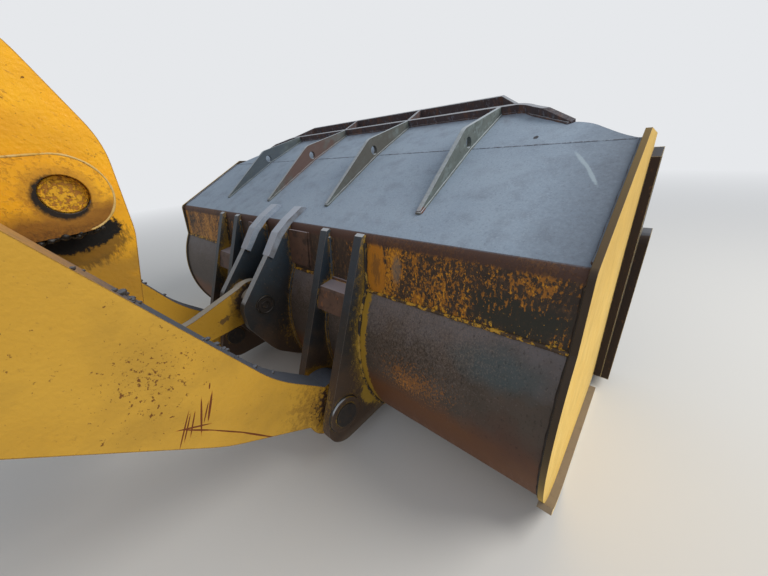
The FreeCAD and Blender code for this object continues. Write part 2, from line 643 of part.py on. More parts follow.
# Lip: a strip standing on the front plate's edge, which turns back and loses height to the shoulders
lip = doc.addObject("PartDesign::Body", "top_lip")
lip.Label = "top_lip"
lipSketch = onFrontPlane(lip, "Strip", 0)
back = topDepth - size.lipThickness
innerRound = size.lipEndRound - size.lipThickness
drawOutline(lipSketch, lipEdge + [
    (-shoulderHalf, -shoulderDepth),
    (-shoulderHalf + size.lipBack, -shoulderDepth + size.lipBack),
    (-lipTurnHalf + size.lipBack, -lipTurnDepth + size.lipBack, innerRound, -1),
    (-lipHalf, -back),
    (lipHalf, -back, innerRound, -1),
    (lipTurnHalf - size.lipBack, -lipTurnDepth + size.lipBack),
    (shoulderHalf - size.lipBack, -shoulderDepth + size.lipBack)])
pad(lip, lipSketch, size.lipHeight)
fade = newSketch(lip, "Fade", -size.bucketWidth / 2)
fadeStart = lipTurnDepth - size.lipFadeBack
fadeEnd = shoulderDepth - size.lipThickness * 2
drawOutline(fade, [onFront(fadeStart, size.lipHeight), onFront(fadeStart, size.lipHeight * 2),
                   onFront(fadeEnd, size.lipHeight * 2), onFront(fadeEnd, 0)])
pocket(lip, fade)

# Spill guard: a tray ahead of the lip, its flange turning back to the lip at both ends
guardFront = topDepth + size.guardReach
guardHalf = lipHalf - size.guardSlant
guardEdge = [(lipHalf, -topDepth), (guardHalf, -guardFront),
             (-guardHalf, -guardFront), (-lipHalf, -topDepth)]
flangeFront = guardFront - size.guardThickness
flangeHalf = guardHalf - size.guardThickness / 2
flangeEnd = lipHalf - size.guardThickness * 4 / 3
spillGuard = doc.addObject("PartDesign::Body", "spill_guard")
spillGuard.Label = "spill_guard"
traySketch = onFrontPlane(spillGuard, "Tray", -size.guardThickness * 2)
drawOutline(traySketch, guardEdge)
pad(spillGuard, traySketch, size.guardThickness)
flangeSketch = onFrontPlane(spillGuard, "Flange", -size.guardThickness * 2)
drawOutline(flangeSketch, guardEdge + [(-flangeEnd, -topDepth), (-flangeHalf, -flangeFront),
                                       (flangeHalf, -flangeFront), (flangeEnd, -topDepth)])
pad(spillGuard, flangeSketch, size.guardThickness * 2 + size.guardHeight)

# Gussets on the top sheet, and the two ribs that carry on from the inner ones to the guard
gussetKink = size.foldDepth - size.gussetKinkBack
gussetPitch = (lipHalf - size.gussetInset) * 2 / 3
gussetOutline = [onTop(size.gussetStart, 0), onTop(size.gussetStart, size.gussetFoot),
                 onTop(gussetKink, size.gussetHeight),
                 onFront(back, size.lipHeight), onFront(back, 0), onTop(size.foldDepth, 0)]
for name, place in (("outer_right", -1.5), ("inner_right", -0.5), ("inner_left", 0.5), ("outer_left", 1.5)):
    plate(name + "_gusset", gussetPitch * place - size.gussetThickness / 2, size.gussetThickness,
          gussetOutline, rounds=[(gussetOutline[2], size.gussetRound)],
          holes=[(onTop(gussetKink, size.gussetHoleRise), size.gussetHole)])
for side, mark in (("right", -1), ("left", 1)):
    plate(side + "_guard_rib", gussetPitch * (0.5 * mark) - size.gussetThickness / 2, size.gussetThickness,
          [onFront(topDepth, size.lipHeight), onFront(topDepth, -size.guardThickness),
           onFront(flangeFront, -size.guardThickness), onFront(flangeFront, size.guardHeight)])

# Side plates: the sheets' profile standing a little proud, with a raked front edge
cutterFoot = floorLevel + size.edgeThickness - size.sheet
sideFront = bend[0] - size.sideFrontReach
sideCorner = moved(bend, -size.sideCornerReach, size.sideCornerRise)
sideOutline = [onTop(-size.sideTopStand, size.sideTopStand),
               seamPoint(size.sideHeelStand) + (size.heelRadius + size.sideHeelStand, 1),
               heelPoint(size.sideHeelStand) + (size.toeRadius + size.sideHeelStand, 1),
               (toeCentre[0], floorLevel - size.sideHeelStand),
               (edgeWeld, floorLevel - size.sideHeelStand),
               (edgeWeld, cutterFoot),
               (sideFront, cutterFoot),
               sideCorner,
               onTop(size.foldDepth + size.sideTopStand * 4, size.sideTopStand)]
for side, low in bothSides(size.bucketWidth / 2 - size.sidePlate, size.sidePlate):
    plate(side + "_side_plate", low, size.sidePlate, sideOutline, rounds=[(sideOutline[0], size.bendRound)])

# Side cutters along the front edges, and corner guards on their lower halves
cutterOutline = [moved(sideCorner, -size.cutterProud, -size.cutterProud * 5),
                 moved(sideCorner, size.cutterProud * 5, -size.cutterProud * 8),
                 (sideFront + size.cutterWidth, bend[1] - size.cutterProud * 16),
                 (sideFront + size.cutterWidth, bend[1] - size.cutterWidth * 2),
                 (sideFront + size.guardWidth, cutterFoot),
                 (sideFront - size.cutterProud, cutterFoot)]
guardBack = sideFront + size.guardWidth
cornerFront = sideFront - size.cutterProud * 2
guardTop = floorLevel + size.guardRise
guardOutline = [(cornerFront, cutterFoot), (guardBack, cutterFoot),
                (guardBack, guardTop), (cornerFront, guardTop)]
for side, low in bothSides(size.bucketWidth / 2, size.cutterThickness):
    plate(side + "_side_cutter", low, size.cutterThickness, cutterOutline,
          rounds=[(cutterOutline[corner], size.cutterWidth) for corner in (2, 3)])
for side, low in bothSides(size.bucketWidth / 2 + size.cutterThickness, size.guardPlate):
    plate(side + "_corner_guard", low, size.guardPlate, guardOutline,
          rounds=[(guardOutline[corner], size.guardTip) for corner in (2, 3)])

# Runners: a wear strip wrapped round the side plate's heel and foot, standing outside its face
runnerWidth = size.sidePlate + size.runnerProud
runnerIn = size.sideHeelStand + size.seatGap
runnerOut = size.sideHeelStand + size.runnerThickness


def toePoint(stand, degrees):
    return polar((toeCentre[0], toeCentre[1]), size.toeRadius + stand, degrees)


for side, low in bothSides(size.bucketWidth / 2 - size.sidePlate, runnerWidth):
    plate(side + "_runner", low, runnerWidth,
          [toePoint(runnerOut, size.runnerStart) + (size.toeRadius + runnerOut, 1),
           (toeCentre[0], floorLevel - runnerOut),
           (edgeWeld, floorLevel - runnerOut),
           (edgeWeld, floorLevel - runnerIn),
           (toeCentre[0], floorLevel - runnerIn, size.toeRadius + runnerIn, -1),
           toePoint(runnerIn, size.runnerStart)])

# Cutting edge, bevelled at its tip
plate("cutting_edge", -size.bucketWidth / 2, size.bucketWidth,
      [(edgeWeld, floorLevel + size.sheet), (edgeWeld, floorLevel + size.sheet - size.edgeThickness),
       (edgeTip, floorLevel + size.sheet - size.edgeThickness),
       (edgeTip, floorLevel + size.sheet - size.edgeThickness + size.edgeNose),
       (edgeTip + size.edgeBevel, floorLevel + size.sheet)])

# Bucket hinge ears, the outer ones with a collar, their pins, and the stop blocks between each pair
insideBend = moved(bend, -size.earSink, -size.earSink)
earTip = moved(hinge, -size.earTipAhead, -size.earTipDrop)
earOutline = [insideBend, moved(bend, 0, size.earBevel * 0.3), moved(bend, size.earHead - size.earBevel / 2, 0),
              moved(bend, size.earHead, -size.earBevel),
              polar(earTip, size.earRadius, 25), earTip, polar(earTip, size.earRadius, -90),
              (bend[0] - size.earSink * 2, earTip[1] - size.earRadius)]
collarSides = bothSides(size.outerEar + size.earThickness, size.collarThickness)
for rowName, inside in (("outer", size.outerEar), ("inner", size.innerEar)):
    for (side, low), (_, collarLow) in zip(bothSides(inside, size.earThickness), collarSides):
        earDiscs = [(earTip, size.earRadius, low, size.earThickness)]
        if rowName == "outer":
            earDiscs.append((hinge, size.collarRadius, collarLow, size.collarThickness))
        plate("%s_%s_hinge_ear" % (side, rowName), low, size.earThickness, earOutline,
              discs=earDiscs, cuts=[bucketOutside(size.seatGap)],
              holes=[(hinge, size.hingePinRadius + size.seatGap)])
pinLow = size.innerEar - size.hingePinProud
pinLength = size.outerEar + size.earThickness - size.innerEar + size.hingePinProud * 2
for side, low in bothSides(pinLow, pinLength):
    pin(side + "_hinge_pin", hinge, size.hingePinRadius, low, pinLength)
stopOutline = [moved(bend, -size.earSink, size.stopBevel - size.stopDrop),
               moved(bend, size.stopDepth - size.stopBevel, -size.stopDrop - size.stopBevel),
               moved(bend, size.stopDepth, -size.stopDrop - size.stopBevel * 2),
               moved(bend, size.stopDepth + size.stopSpread, -size.stopDrop - size.stopHeight),
               moved(bend, -size.earSink, -size.stopDrop - size.stopHeight)]
stopInside = size.innerEar + size.earThickness
stopWidth = size.outerEar - stopInside
for side, low in bothSides(stopInside, stopWidth):
    plate(side + "_stop_block", low, stopWidth, stopOutline, cuts=[bucketOutside(size.seatGap)])

# Link ears in the middle, their pin, the cap bars that lap on to the top sheet, and a pad plate each side
earTop = moved(bend, size.capTopBack, -size.capTopDrop)
earStep = moved(bend, size.capFootBack, -size.capFootDrop)
earFoot = moved(earStep, size.capThickness * 0.77, size.capThickness * 0.73)
earBulge = [moved(linkFront, size.linkEarBulge, size.linkEarBulgeRise),
            moved(linkFront, size.linkEarBulge, -size.linkEarBulgeDrop),
            moved(linkFront, size.linkEarTail, -size.linkEarTailDrop)]
earRounds = [(earBulge[0], size.linkEarRound), (earBulge[1], size.linkEarRound * 1.4),
             (earBulge[2], size.linkEarRound * 3)]
linkEarOutline = [insideBend, bend, earTop, earStep, earFoot] + earBulge + [
    moved(bend, size.capFootBack, -size.linkEarFoot), moved(bend, -size.earSink, -size.linkEarFoot - size.linkEarBulge)]
for side, low in bothSides(size.linkEar, size.linkEarThickness):
    plate(side + "_link_ear", low, size.linkEarThickness, linkEarOutline,
          rounds=earRounds, cuts=[bucketOutside(size.seatGap)],
          holes=[(linkFront, size.linkPinRadius + size.seatGap)])
padInside = size.linkEar + size.linkEarThickness
pin("link_front_pin", linkFront, size.linkPinRadius, -padInside, padInside * 2)
capOutline = [onTop(size.capReach, 0), onTop(size.capReach, size.capNose),
              onTop(size.capReach - size.capThickness * 0.8, size.capThickness),
              onTop(0, size.capThickness), moved(earTop, size.capThickness * 0.7, size.capThickness),
              earFoot, earStep, earTop, bend]
for side, low in bothSides(size.capInside, size.capWidth):
    plate(side + "_cap_bar", low, size.capWidth, capOutline)
for side, low in bothSides(padInside, size.padWidth):
    plate(side + "_pad_plate", low, size.padWidth,
          [onBand(size.capThickness, 0), onBand(size.capThickness, size.padThickness),
           onBand(size.padDepth, size.padThickness), onBand(size.padDepth, 0)])

# Heel wear plates under the floor, as deep as the runners
for side, low in bothSides(size.wearInset, size.wearWidth):
    plate(side + "_wear_plate", low, size.wearWidth,
          [(toeCentre[0], floorLevel), (toeCentre[0], floorLevel - runnerOut),
           (edgeWeld, floorLevel - runnerOut),
           (edgeWeld, floorLevel)])

doc.recompute()

nodes = [item for item in doc.Objects if item.TypeId == "PartDesign::Body"]
for item in doc.Objects:
    if "Invalid" in item.State or "Error" in item.State:
        raise RuntimeError("%s (%s) failed: %s" % (item.Name, item.TypeId, item.State))
for node in nodes:
    if node.Shape.isNull() or not node.Shape.isValid():
        raise RuntimeError("%s has no valid shape" % node.Label)
    node.Shape.exportStep("parts/%s.step" % node.Label)
print("%d nodes written" % len(nodes))
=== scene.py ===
import math

import bpy
import numpy as np
from mathutils import Matrix


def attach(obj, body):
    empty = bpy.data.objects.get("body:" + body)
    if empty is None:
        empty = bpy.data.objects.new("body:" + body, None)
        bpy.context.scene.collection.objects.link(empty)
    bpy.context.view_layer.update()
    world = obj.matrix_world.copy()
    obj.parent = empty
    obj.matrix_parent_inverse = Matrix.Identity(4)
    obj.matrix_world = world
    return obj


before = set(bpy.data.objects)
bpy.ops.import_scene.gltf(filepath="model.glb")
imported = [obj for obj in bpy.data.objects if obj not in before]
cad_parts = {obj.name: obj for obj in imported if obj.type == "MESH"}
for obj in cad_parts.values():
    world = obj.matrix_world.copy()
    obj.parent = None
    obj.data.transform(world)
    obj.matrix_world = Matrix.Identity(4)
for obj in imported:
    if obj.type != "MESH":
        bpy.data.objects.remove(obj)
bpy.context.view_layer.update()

print("frame loaded")

# The bucket's side view, in metres and radians: the bend between top sheet and back band, the two slopes of
# the top, the back band, the two arcs of the rolled heel, and the level of the runners that it stands on
bucket = {"bendY": -2.656, "bendZ": -0.938, "topSlope": math.radians(25.75), "frontSlope": math.radians(21.75),
          "foldDepth": 0.683, "lipDepth": 1.09, "guardDepth": 1.25, "bandLean": math.radians(8.4), "bandDepth": 0.26,
          "heelRadius": 0.68, "heelDrop": 0.624, "toeRadius": 0.35, "floorDrop": 1.14, "floorEnd": -3.606,
          "innerHalf": 1.64, "outerHalf": 1.66, "ground": -2.115}
# Pins of the linkage, as (y, z)
hingeAt = (-2.350, -1.780)
pivotAt = (-1.8048, -0.61204)
linkFrontAt = (-2.379, -1.342)
linkRearAt = (-1.6258, -1.46804)
crankTopAt = (-1.4298, 0.09196)
tubeAt = (-1.35595, -0.60806)


# A point of the top: x across, depth forward of the bend along the slope, which eases at the fold,
# and stand above the plate
def onTop(x, depth, stand=0.0):
    x, depth, stand = np.broadcast_arrays(x, np.asarray(depth, float), stand)
    fold = bucket["foldDepth"]
    slope = np.where(depth > fold, bucket["frontSlope"], bucket["topSlope"])
    first = np.minimum(depth, fold)
    second = np.maximum(depth - fold, 0)
    y = (bucket["bendY"] - math.cos(bucket["topSlope"]) * first - math.cos(bucket["frontSlope"]) * second
         + np.sin(slope) * stand)
    z = (bucket["bendZ"] + math.sin(bucket["topSlope"]) * first + math.sin(bucket["frontSlope"]) * second
         + np.cos(slope) * stand)
    return np.stack([x, y, z], axis=-1)


# The back from the bend down: band, upper heel arc, lower heel arc, floor
def measureBack():
    lean, depth = bucket["bandLean"], bucket["bandDepth"]
    seam = (bucket["bendY"] + math.sin(lean) * depth, bucket["bendZ"] - math.cos(lean) * depth)
    heelZ = bucket["bendZ"] - bucket["heelDrop"]
    heelY = seam[0] - math.sqrt(bucket["heelRadius"] ** 2 - (seam[1] - heelZ) ** 2)
    toeZ = bucket["bendZ"] - bucket["floorDrop"] + bucket["toeRadius"]
    step = bucket["heelRadius"] - bucket["toeRadius"]
    toeY = heelY + math.sqrt(step ** 2 - (heelZ - toeZ) ** 2)
    seamTurn = math.atan2(seam[1] - heelZ, seam[0] - heelY)
    joinTurn = math.atan2(toeZ - heelZ, toeY - heelY)
    upperEnd = depth + bucket["heelRadius"] * (seamTurn - joinTurn)
    lowerEnd = upperEnd + bucket["toeRadius"] * (joinTurn + math.pi / 2)
    return {"heel": (heelY, heelZ), "toe": (toeY, toeZ), "seamTurn": seamTurn, "joinTurn": joinTurn,
            "upperEnd": upperEnd, "lowerEnd": lowerEnd}


back = measureBack()


# A point of the back: x across, run down from the bend along the sheets, stand outside them
def onBack(x, run, stand=0.0):
    x, run, stand = np.broadcast_arrays(x, np.asarray(run, float), stand)
    lean = bucket["bandLean"]
    upper = back["seamTurn"] - (run - bucket["bandDepth"]) / bucket["heelRadius"]
    lower = back["joinTurn"] - (run - back["upperEnd"]) / bucket["toeRadius"]
    conditions = [run < bucket["bandDepth"], run < back["upperEnd"], run < back["lowerEnd"]]
    y = np.select(conditions, [
        bucket["bendY"] + math.sin(lean) * run + math.cos(lean) * stand,
        back["heel"][0] + np.cos(upper) * (bucket["heelRadius"] + stand),
        back["toe"][0] + np.cos(lower) * (bucket["toeRadius"] + stand)],
        back["toe"][0] - (run - back["lowerEnd"]))
    z = np.select(conditions, [
        bucket["bendZ"] - math.cos(lean) * run + math.sin(lean) * stand,
        back["heel"][1] + np.sin(upper) * (bucket["heelRadius"] + stand),
        back["toe"][1] + np.sin(lower) * (bucket["toeRadius"] + stand)],
        back["toe"][1] - bucket["toeRadius"] - stand)
    return np.stack([x, y, z], axis=-1)


# How far down the back a level lies
def runAtLevel(level):
    runs = np.linspace(0, back["lowerEnd"], 600)
    levels = onBack(0.0, runs)[:, 2]
    return float(np.interp(-level, -levels, runs))


# sRGB hex to linear colour
def hexColour(code):
    parts = [int(code[i:i + 2], 16) / 255 for i in (1, 3, 5)]
    return [p / 12.92 if p <= 0.04045 else ((p + 0.055) / 1.055) ** 2.4 for p in parts] + [1.0]


# One node with its settings, and its sockets set or linked
def addNode(tree, kind, sockets=None, **settings):
    node = tree.nodes.new("ShaderNode" + kind)
    for name, value in settings.items():
        setattr(node, name, value)
    for name, value in (sockets or {}).items():
        if isinstance(value, bpy.types.NodeSocket):
            tree.links.new(value, node.inputs[name])
        else:
            node.inputs[name].default_value = value
    return node


# What drives a coat, each from 0 to 1 or about it. The first word says which:
#   patch: soft noise of that size in mm;  specks: grainy noise;  cells: distance inside rounded blotches
#   run: from one place to another along an axis;  facing: how far a face looks along a direction
#   across: how far a face looks away from the machine's middle
#   spot: 1 in the middle of a soft ellipsoid, (centre, radii, turns), 0 outside it
#   edge: worn outer edges;  hollow: corners where dirt stays
def driverSocket(tree, place, driver):
    kind, reach = driver[0], driver[1]
    if kind in ("patch", "specks", "cells"):
        stretch = driver[2] if len(driver) > 2 else (1, 1, 1)
        turn = driver[3] if len(driver) > 3 else (0, 0, 0)
        turned = addNode(tree, "Mapping", {0: place, "Rotation": turn})
        squeezed = addNode(tree, "Mapping", {0: turned.outputs[0], "Scale": stretch})
        scale = 1000 / reach
        if kind == "cells":
            spots = addNode(tree, "TexVoronoi", {"Vector": squeezed.outputs[0], "Scale": scale}, feature="F1")
            return spots.outputs["Distance"]
        detail = 3 if kind == "patch" else 7
        noise = addNode(tree, "TexNoise", {"Vector": squeezed.outputs[0], "Scale": scale, "Detail": detail,
                                           "Roughness": 0.5 if kind == "patch" else 0.68})
        return noise.outputs[0]
    if kind == "run":
        axis = addNode(tree, "SeparateXYZ", {0: place}).outputs["XYZ".index(driver[2])]
        low, high = reach
        return addNode(tree, "MapRange", {"Value": axis, "From Min": low, "From Max": high}).outputs[0]
    if kind == "spot":
        centre, radii, turn = reach, driver[2], driver[3]
        moved = addNode(tree, "VectorMath", {0: place, 1: centre}, operation="SUBTRACT").outputs[0]
        turned = addNode(tree, "Mapping", {0: moved, "Rotation": turn}).outputs[0]
        scaled = addNode(tree, "VectorMath", {0: turned, 1: radii}, operation="DIVIDE").outputs[0]
        away = addNode(tree, "VectorMath", {0: scaled}, operation="LENGTH").outputs["Value"]
        return addNode(tree, "MapRange", {"Value": away, "From Min": 1.0, "From Max": 0.0}).outputs[0]
    if kind == "facing":
        normal = addNode(tree, "TexCoord").outputs["Normal"]
        look = addNode(tree, "VectorMath", {0: normal, 1: reach}, operation="DOT_PRODUCT").outputs["Value"]
        low, high = driver[2]
        return addNode(tree, "MapRange", {"Value": look, "From Min": low, "From Max": high}).outputs[0]
    if kind == "across":
        sideways = addNode(tree, "SeparateXYZ", {0: addNode(tree, "TexCoord").outputs["Normal"]}).outputs[0]
        half = addNode(tree, "SeparateXYZ", {0: place}).outputs[0]
        side = addNode(tree, "Math", {0: half}, operation="SIGN").outputs[0]
        away = addNode(tree, "Math", {0: sideways, 1: side}, operation="MULTIPLY").outputs[0]
        return addNode(tree, "MapRange", {"Value": away, "From Min": reach, "From Max": 1.0}).outputs[0]
    if kind == "edge":
        soft = addNode(tree, "Bevel", {"Radius": reach / 1000}, samples=4).outputs[0]
        hard = addNode(tree, "NewGeometry").outputs["Normal"]
        same = addNode(tree, "VectorMath", {0: soft, 1: hard}, operation="DOT_PRODUCT").outputs["Value"]
        return addNode(tree, "MapRange", {"Value": same, "From Min": 0.99, "From Max": 0.80}).outputs[0]
    shade = addNode(tree, "AmbientOcclusion", {"Distance": reach / 1000}, samples=6).outputs["AO"]
    return addNode(tree, "MapRange", {"Value": shade, "From Min": 0.95, "From Max": 0.45}).outputs[0]


# A finish is a ground colour and coats over it. A coat shows where the weighted sum of its drivers
# passes from the first to the second number of its cover.
def makeFinish(name, finish):
    material = bpy.data.materials.new(name)
    material.use_nodes = True
    tree = material.node_tree
    tree.nodes.clear()
    place = addNode(tree, "TexCoord").outputs["Object"]
    first, second = (hexColour(c) for c in finish["ground"])
    shade = driverSocket(tree, place, finish["cloud"])
    shade = addNode(tree, "MapRange", {"Value": shade, "From Min": 0.3, "From Max": 0.7}).outputs[0]
    colour = addNode(tree, "Mix", {0: shade, 6: first, 7: second}, data_type="RGBA").outputs[2]
    rough = finish["rough"]
    metal = finish.get("metal", 0.0)
    grain = addNode(tree, "TexNoise", {"Vector": place, "Scale": 1000 / finish["grain"][0], "Detail": 4}).outputs[0]
    height = addNode(tree, "Math", {0: grain, 1: finish["grain"][1]}, operation="MULTIPLY").outputs[0]
    for coat in finish["coats"]:
        total = None
        for weight, driver in coat["drivers"]:
            value = driverSocket(tree, place, driver)
            part = addNode(tree, "Math", {0: value, 1: weight}, operation="MULTIPLY").outputs[0]
            total = part if total is None else addNode(tree, "Math", {0: total, 1: part}, operation="ADD").outputs[0]
        low, high = coat["cover"]
        mask = addNode(tree, "MapRange", {"Value": total, "From Min": low, "From Max": high,
                                          "To Max": coat.get("depth", 1.0)}).outputs[0]
        colour = addNode(tree, "Mix", {0: mask, 6: colour, 7: hexColour(coat["colour"])},
                         data_type="RGBA").outputs[2]
        if "rough" in coat:
            rough = addNode(tree, "Mix", {0: mask, 2: rough, 3: coat["rough"]}, data_type="FLOAT").outputs[0]
        if "metal" in coat:
            metal = addNode(tree, "Mix", {0: mask, 2: metal, 3: coat["metal"]}, data_type="FLOAT").outputs[0]
        if "height" in coat:
            raised = addNode(tree, "Math", {0: mask, 1: coat["height"]}, operation="MULTIPLY").outputs[0]
            height = addNode(tree, "Math", {0: height, 1: raised}, operation="ADD").outputs[0]
    rounded = addNode(tree, "Bevel", {"Radius": finish.get("round", 3) / 1000}, samples=4).outputs[0]
    bump = addNode(tree, "Bump", {"Height": height, "Distance": 0.001, "Strength": 1.0, "Normal": rounded})
    dust = finish.get("dust", {"weight": 0.0, "colour": "#FFFFFF"})
    surface = addNode(tree, "BsdfPrincipled", {"Base Color": colour, "Roughness": rough, "Metallic": metal,
                                               "Normal": bump.outputs[0],
                                               "Specular IOR Level": finish.get("sheen", 0.4),
                                               "Sheen Weight": dust["weight"], "Sheen Roughness": 0.45,
                                               "Sheen Tint": hexColour(dust["colour"])})
    addNode(tree, "OutputMaterial", {"Surface": surface.outputs[0]})
    return material


upward = (0, 0, 1)


# One driver for a stroke from one point to another: a soft ellipsoid drawn out along it, turned about one axis
def strokeDriver(start, end, half, axis="X"):
    start, end = np.array(start), np.array(end)
    middle, run = (start + end) / 2, end - start
    length = float(np.linalg.norm(run))
    if axis == "X":
        return ("spot", tuple(middle), (0.05, length * 0.62, half), (-math.atan2(run[2], run[1]), 0, 0))
    return ("spot", tuple(middle), (half, length * 0.62, 0.2), (0, 0, math.atan2(run[0], run[1])))


# Scores on the right lift arm's outer face, as (y, z) ends and a half width in metres
armScores = [((-1.728, -1.440), (-1.800, -1.320), 0.003), ((-1.748, -1.425), (-1.800, -1.335), 0.003),
             ((-1.770, -1.420), (-1.815, -1.335), 0.003), ((-1.800, -1.440), (-1.848, -1.300), 0.004),
             ((-1.835, -1.405), (-1.885, -1.300), 0.005), ((-1.822, -1.400), (-1.862, -1.330), 0.003),
             ((-1.745, -1.365), (-1.840, -1.420), 0.004), ((-1.762, -1.376), (-1.842, -1.457), 0.004),
             ((-1.835, -1.450), (-1.930, -1.560), 0.004), ((-1.913, -1.539), (-2.010, -1.668), 0.005),
             ((-1.995, -1.648), (-2.083, -1.767), 0.005), ((-1.880, -1.285), (-1.890, -1.262), 0.003),
             ((-2.018, -1.245), (-2.030, -1.290), 0.004)]
scoreDrivers = [(2.6, strokeDriver((-0.69, *a), (-0.69, *b), half)) for a, b, half in armScores]
# The pale curved rub on the top sheet beside the right side plate
rubDrivers = [(1.6, strokeDriver((-1.440, -3.215, -0.67), (-1.520, -3.100, -0.72), 0.012, "Z")),
              (1.6, strokeDriver((-1.505, -3.125, -0.71), (-1.570, -3.005, -0.77), 0.011, "Z"))]

# Chrome yellow enamel sprayed on plate, the ground for every painted piece of the linkage
enamelGround = {"cloud": ("patch", 420), "rough": 0.42, "grain": (15, 2.2), "sheen": 0.45}
armGround = {**enamelGround, "ground": ("#C39328", "#CE9F33")}
# A brighter orange copy of the enamel's ground: painted sunlight on the brackets and bellcrank
paintedSunGround = {**enamelGround, "ground": ("#FFB000", "#FFC21A")}
enamelCoats = [
    # the gloss gone to dull olive where dust and damp stay
    {"colour": "#A9822A", "rough": 0.6, "cover": (0.48, 0.72), "depth": 0.5,
     "drivers": [(1, ("patch", 190, (1, 1, 1.4), (0.6, 0, 0)))]},
    # pits down to brown rust, no bigger than a fingernail
    {"colour": "#70430F", "rough": 0.8, "cover": (0.708, 0.735), "height": -0.5, "depth": 0.9,
     "drivers": [(1, ("specks", 19)), (0.10, ("patch", 260))]},
]
# A brighter, warmer copy of the enamel's dull coat: painted sunlight on the pieces that stood in the sun
paintedSunCoats = [{**enamelCoats[0], "colour": "#CB8A12", "depth": 0.35}, enamelCoats[1]]
edgeRust = [
    # edges rubbed through: salmon rust line, then dark fringe
    {"colour": "#A9693A", "rough": 0.75, "cover": (0.62, 0.95), "height": -0.3,
     "drivers": [(1, ("edge", 6)), (0.5, ("specks", 16))]},
    {"colour": "#43291A", "rough": 0.85, "cover": (1.02, 1.12), "height": -0.4,
     "drivers": [(1, ("edge", 8)), (0.8, ("specks", 14))]},
]
frostDust = [
    # dark blue grey dust, frosted, on what faces up
    {"colour": "#656B75", "rough": 0.85, "cover": (0.62, 0.9), "height": 0.4,
     "drivers": [(1, ("facing", upward, (0.30, 0.60))), (0.5, ("patch", 50))]},
    {"colour": "#3F3B3A", "rough": 0.9, "cover": (1.26, 1.34), "depth": 0.8, "height": 0.5,
     "drivers": [(1, ("facing", upward, (0.30, 0.60))), (0.65, ("specks", 18))]},
]
# Ears: black brown scale, a cold bloom above and brown rust below
earCoats = [
    {"colour": "#2C3A46", "rough": 0.5, "cover": (0.55, 0.95), "depth": 0.75,
     "drivers": [(0.8, ("run", (-1.50, -1.05), "Z")), (0.5, ("patch", 70))]},
    {"colour": "#4C3A2B", "rough": 0.7, "cover": (0.55, 0.85), "depth": 0.85,
     "drivers": [(0.6, ("run", (-1.28, -1.62), "Z")), (0.6, ("patch", 60))]},
    {"colour": "#6B5A48", "rough": 0.7, "cover": (0.60, 0.68), "depth": 0.55, "drivers": [(1, ("specks", 11))]},
    {"colour": "#151515", "rough": 0.6, "cover": (0.60, 0.68), "depth": 0.6, "drivers": [(1, ("specks", 17))]},
    # remains of yellow beside the sheets
    {"colour": "#A57E2A", "rough": 0.55, "cover": (0.92, 1.00), "height": 0.5,
     "drivers": [(1, ("specks", 16, (1, 1, 0.6))), (0.50, ("hollow", 60)), (0.12, ("run", (-1.2, -1.9), "Z"))]},
    {"colour": "#85672A", "rough": 0.6, "cover": (0.70, 0.80), "height": 0.4, "depth": 0.9,
     "drivers": [(1, ("specks", 15)), (0.30, ("spot", (-0.16, -2.52, -1.58), (0.1, 0.22, 0.22), (0, 0, 0)))]},
    {"colour": "#6E6359", "rough": 0.6, "cover": (0.60, 1.0), "depth": 0.8,
     "drivers": [(1, ("edge", 5)), (0.3, ("specks", 14))]},
]
earFrost = [
    {"colour": "#A4ABB2", "rough": 0.8, "cover": (0.75, 1.1), "height": 0.3,
     "drivers": [(1, ("facing", (0, 0.35, 0.93), (0.62, 0.92))), (0.25, ("specks", 14))]},
]

